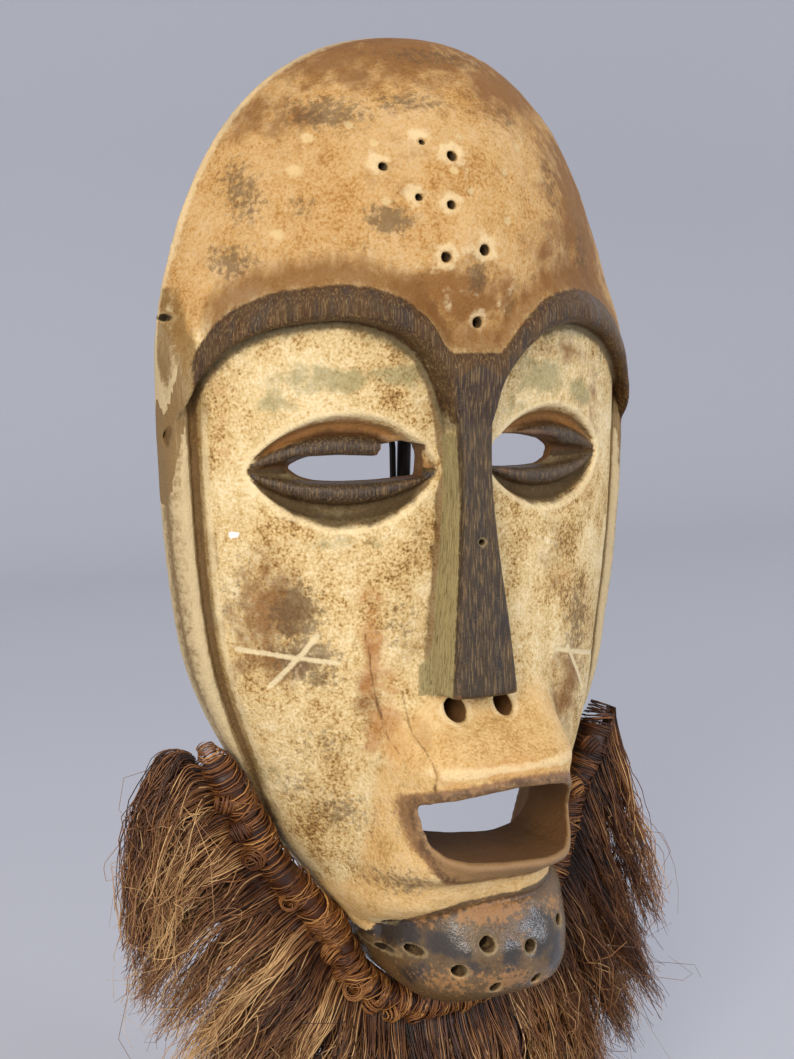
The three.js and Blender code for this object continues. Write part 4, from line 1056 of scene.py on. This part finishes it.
for waves, most in SWAYS:
    turn = run[..., None] * waves * 2 * math.pi * chance.uniform(0.7, 1.3, (count, 1, 1))
    wave = np.sin(turn + chance.uniform(0, 6.3, (count, 1, 3)))
    sway += wave * most * np.abs(chance.normal(0, 1, (count, 1, 1)))
lines += sway * (np.where(stray, 3.2, 1.0)[:, None] * ease(0, 0.9, run) * 1.3)[..., None]
past = np.clip(LIMITS["right"] - lines[..., 0], 0, None)
pressed = LIMITS["right"] - LIMITS["give"] * np.tanh(past / LIMITS["give"])
lines[..., 0] = np.clip(np.where(past > 0, pressed, lines[..., 0]), None, LIMITS["left"])
lines[..., 2] = np.clip(lines[..., 2], LIMITS["foot"], None)
radius = chance.uniform(0.18, 0.40, count)[:, None] * (1 - 0.62 * (run / reach[:, None]) ** 2)
radius = np.where(stray[:, None], radius * 0.6, radius)
shade = chance.normal(0.38, 0.13, TRESSES)[tress] + chance.normal(0, 0.2, count) + np.where(stray, 0.15, 0)
# Painted shade: the tresses on the mask's left side, turned away from the lamps, are made darker.
shade = shade - 0.24 * ease(0.72, 0.88, share)
# Painted shade: the back layers of tresses are darker and the front ones lighter. Each strand is also darker
# at its root and lighter toward its tip.
tone = np.clip(shade[:, None] + 0.26 * run + 0.07 * layer - 0.16 * ease(0.3, 0, run), 0, 1)
for quarter, side in enumerate(["right", "chin_right", "chin_left", "left"]):
    chosen = (tress_share >= quarter / 4) & (tress_share < (quarter + 1) / 4)
    beard = spun("beard_fibre_" + side, list(lines[chosen] * MM), list(radius[chosen] * MM),
                 list(tone[chosen]), loose_fibre, 3)
    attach(beard, "root")
    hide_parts("beard_fibre")

# A dense inner body of fibre, so that no light comes through the beard under its cord. Its tone is kept near
# black: painted shade inside the beard.
core_rings = []
for share in np.linspace(0.09, 0.93, 88):
    run = np.linspace(0.04, 0.42, 7)
    flat = fibre_path(np.array([share]), run[None])[0]
    half = 3.6 - 2.8 * ease(0.1, 0.42, run)
    middle = beard_middle(np.array([share]), run)[0]
    front = np.stack([flat[:, 0], -(middle + half), flat[:, 1] + LIFT], axis=1)
    back = np.stack([flat[:, 0], -(middle - half), flat[:, 1] + LIFT], axis=1)
    core_rings.append(np.concatenate([front, back[::-1]]) * MM)
under = lofted("beard_fibre_inner", core_rings)
set_marks(under, {"tone": np.full(len(under.data.vertices), 0.1)})
under.data.materials.append(loose_fibre)
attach(under, "root")
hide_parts("beard_fibre")


# The stand is steel under thin satin black paint: a foot plate, a post that leans into the hollow, and a
# thin prong welded to it that splits off behind the nose and holds the forehead's inside.
# The paint is nearly black, with the metal's soft broken shine and a faint brown bloom where it is thin.
black_paint, tree = new_finish("satin_black_painted_steel")
place = add(tree, "ShaderNodeTexCoord").outputs["Object"]
bloom = add(tree, "ShaderNodeTexNoise", {"Scale": 1 / 0.012, "Detail": 6, "Roughness": 0.7},
            {"Vector": place}).outputs["Fac"]
tint = add(tree, "ShaderNodeMix", {"data_type": "RGBA", 6: linear("#1a1a1c"), 7: linear("#2b2522")},
           {0: bloom})
haze = add(tree, "ShaderNodeMapRange", {"From Min": 0.3, "From Max": 0.7, "To Min": 0.34, "To Max": 0.55},
           {"Value": bloom})
steel = add(tree, "ShaderNodeBsdfPrincipled", {"Metallic": 0.7},
            {"Base Color": tint.outputs[2], "Roughness": haze})
add(tree, "ShaderNodeOutputMaterial", {}, {"Surface": steel})
for node in ("stand_foot", "stand_post", "stand_prong"):
    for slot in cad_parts[node].material_slots:
        slot.material = black_paint


# A plain studio floor that sweeps up behind the mask, and soft lights: a warm one from the front left, a
# cool one from the right and an even sky.
BEND, FRONT, BEND_FROM, TOP, HALF_WIDTH = 0.8, -2.4, 1.9, 3.4, 3.2
curve = np.linspace(0, math.pi / 2, 13)
profile = [(FRONT, 0.0), *[(BEND_FROM + BEND * math.sin(a), BEND - BEND * math.cos(a)) for a in curve],
           (BEND_FROM + BEND, TOP)]
points = [(x, y, z) for y, z in profile for x in (-HALF_WIDTH, HALF_WIDTH)]
faces = [(2 * i, 2 * i + 1, 2 * i + 3, 2 * i + 2) for i in range(len(profile) - 1)]
sweep_mesh = bpy.data.meshes.new("studio_sweep")
sweep_mesh.from_pydata(points, [], faces)
sweep_mesh.shade_smooth()
sweep = in_scene("studio_sweep", sweep_mesh)
# Matt background paper in a cool pale grey.
paper, tree = new_finish("studio_paper")
shade = add(tree, "ShaderNodeBsdfPrincipled", {"Base Color": linear("#b9bec9"), "Roughness": 0.9})
add(tree, "ShaderNodeOutputMaterial", {}, {"Surface": shade})
sweep_mesh.materials.append(paper)

world = bpy.data.worlds.new("studio_air")
bpy.context.scene.world = world
world.use_nodes = True
sky = world.node_tree.nodes["Background"]
sky.inputs["Color"].default_value = linear("#f2eef0")
sky.inputs["Strength"].default_value = 0.95
LIT = Vector((0, -0.02, 0.32))  # the point that the lamps are turned to
for name, where, size, power, tint in [
    ("key", (-1.2, -1.3, 0.95), 0.7, 22, "#fff3e2"),
    ("fill", (0.9, -1.3, 0.50), 0.26, 6.5, "#e6ecfa"),
]:
    lamp = bpy.data.lights.new(name, "AREA")
    lamp.size, lamp.energy, lamp.color = size, power, linear(tint)[:3]
    light = in_scene(name, lamp)
    light.location = where
    light.rotation_euler = (LIT - Vector(where)).to_track_quat("-Z", "Y").to_euler()
bpy.context.scene.view_settings.view_transform = "Standard"


# The camera stands where the photographer stood: to the mask's right and a little above its chin.
AZIMUTH, ELEVATION, DISTANCE, AIM_HEIGHT = math.radians(-28), math.radians(7), 0.650, 0.319
lens = bpy.data.cameras.new("photographer")
lens.lens, lens.sensor_width = 51.98, 36
camera = in_scene("photographer", lens)
back = Vector((math.sin(AZIMUTH) * math.cos(ELEVATION), -math.cos(AZIMUTH) * math.cos(ELEVATION),
               math.sin(ELEVATION)))
camera.location = Vector((0, 0, AIM_HEIGHT)) + back * DISTANCE
camera.rotation_euler = (-back).to_track_quat("-Z", "Y").to_euler()
bpy.context.scene.camera = camera
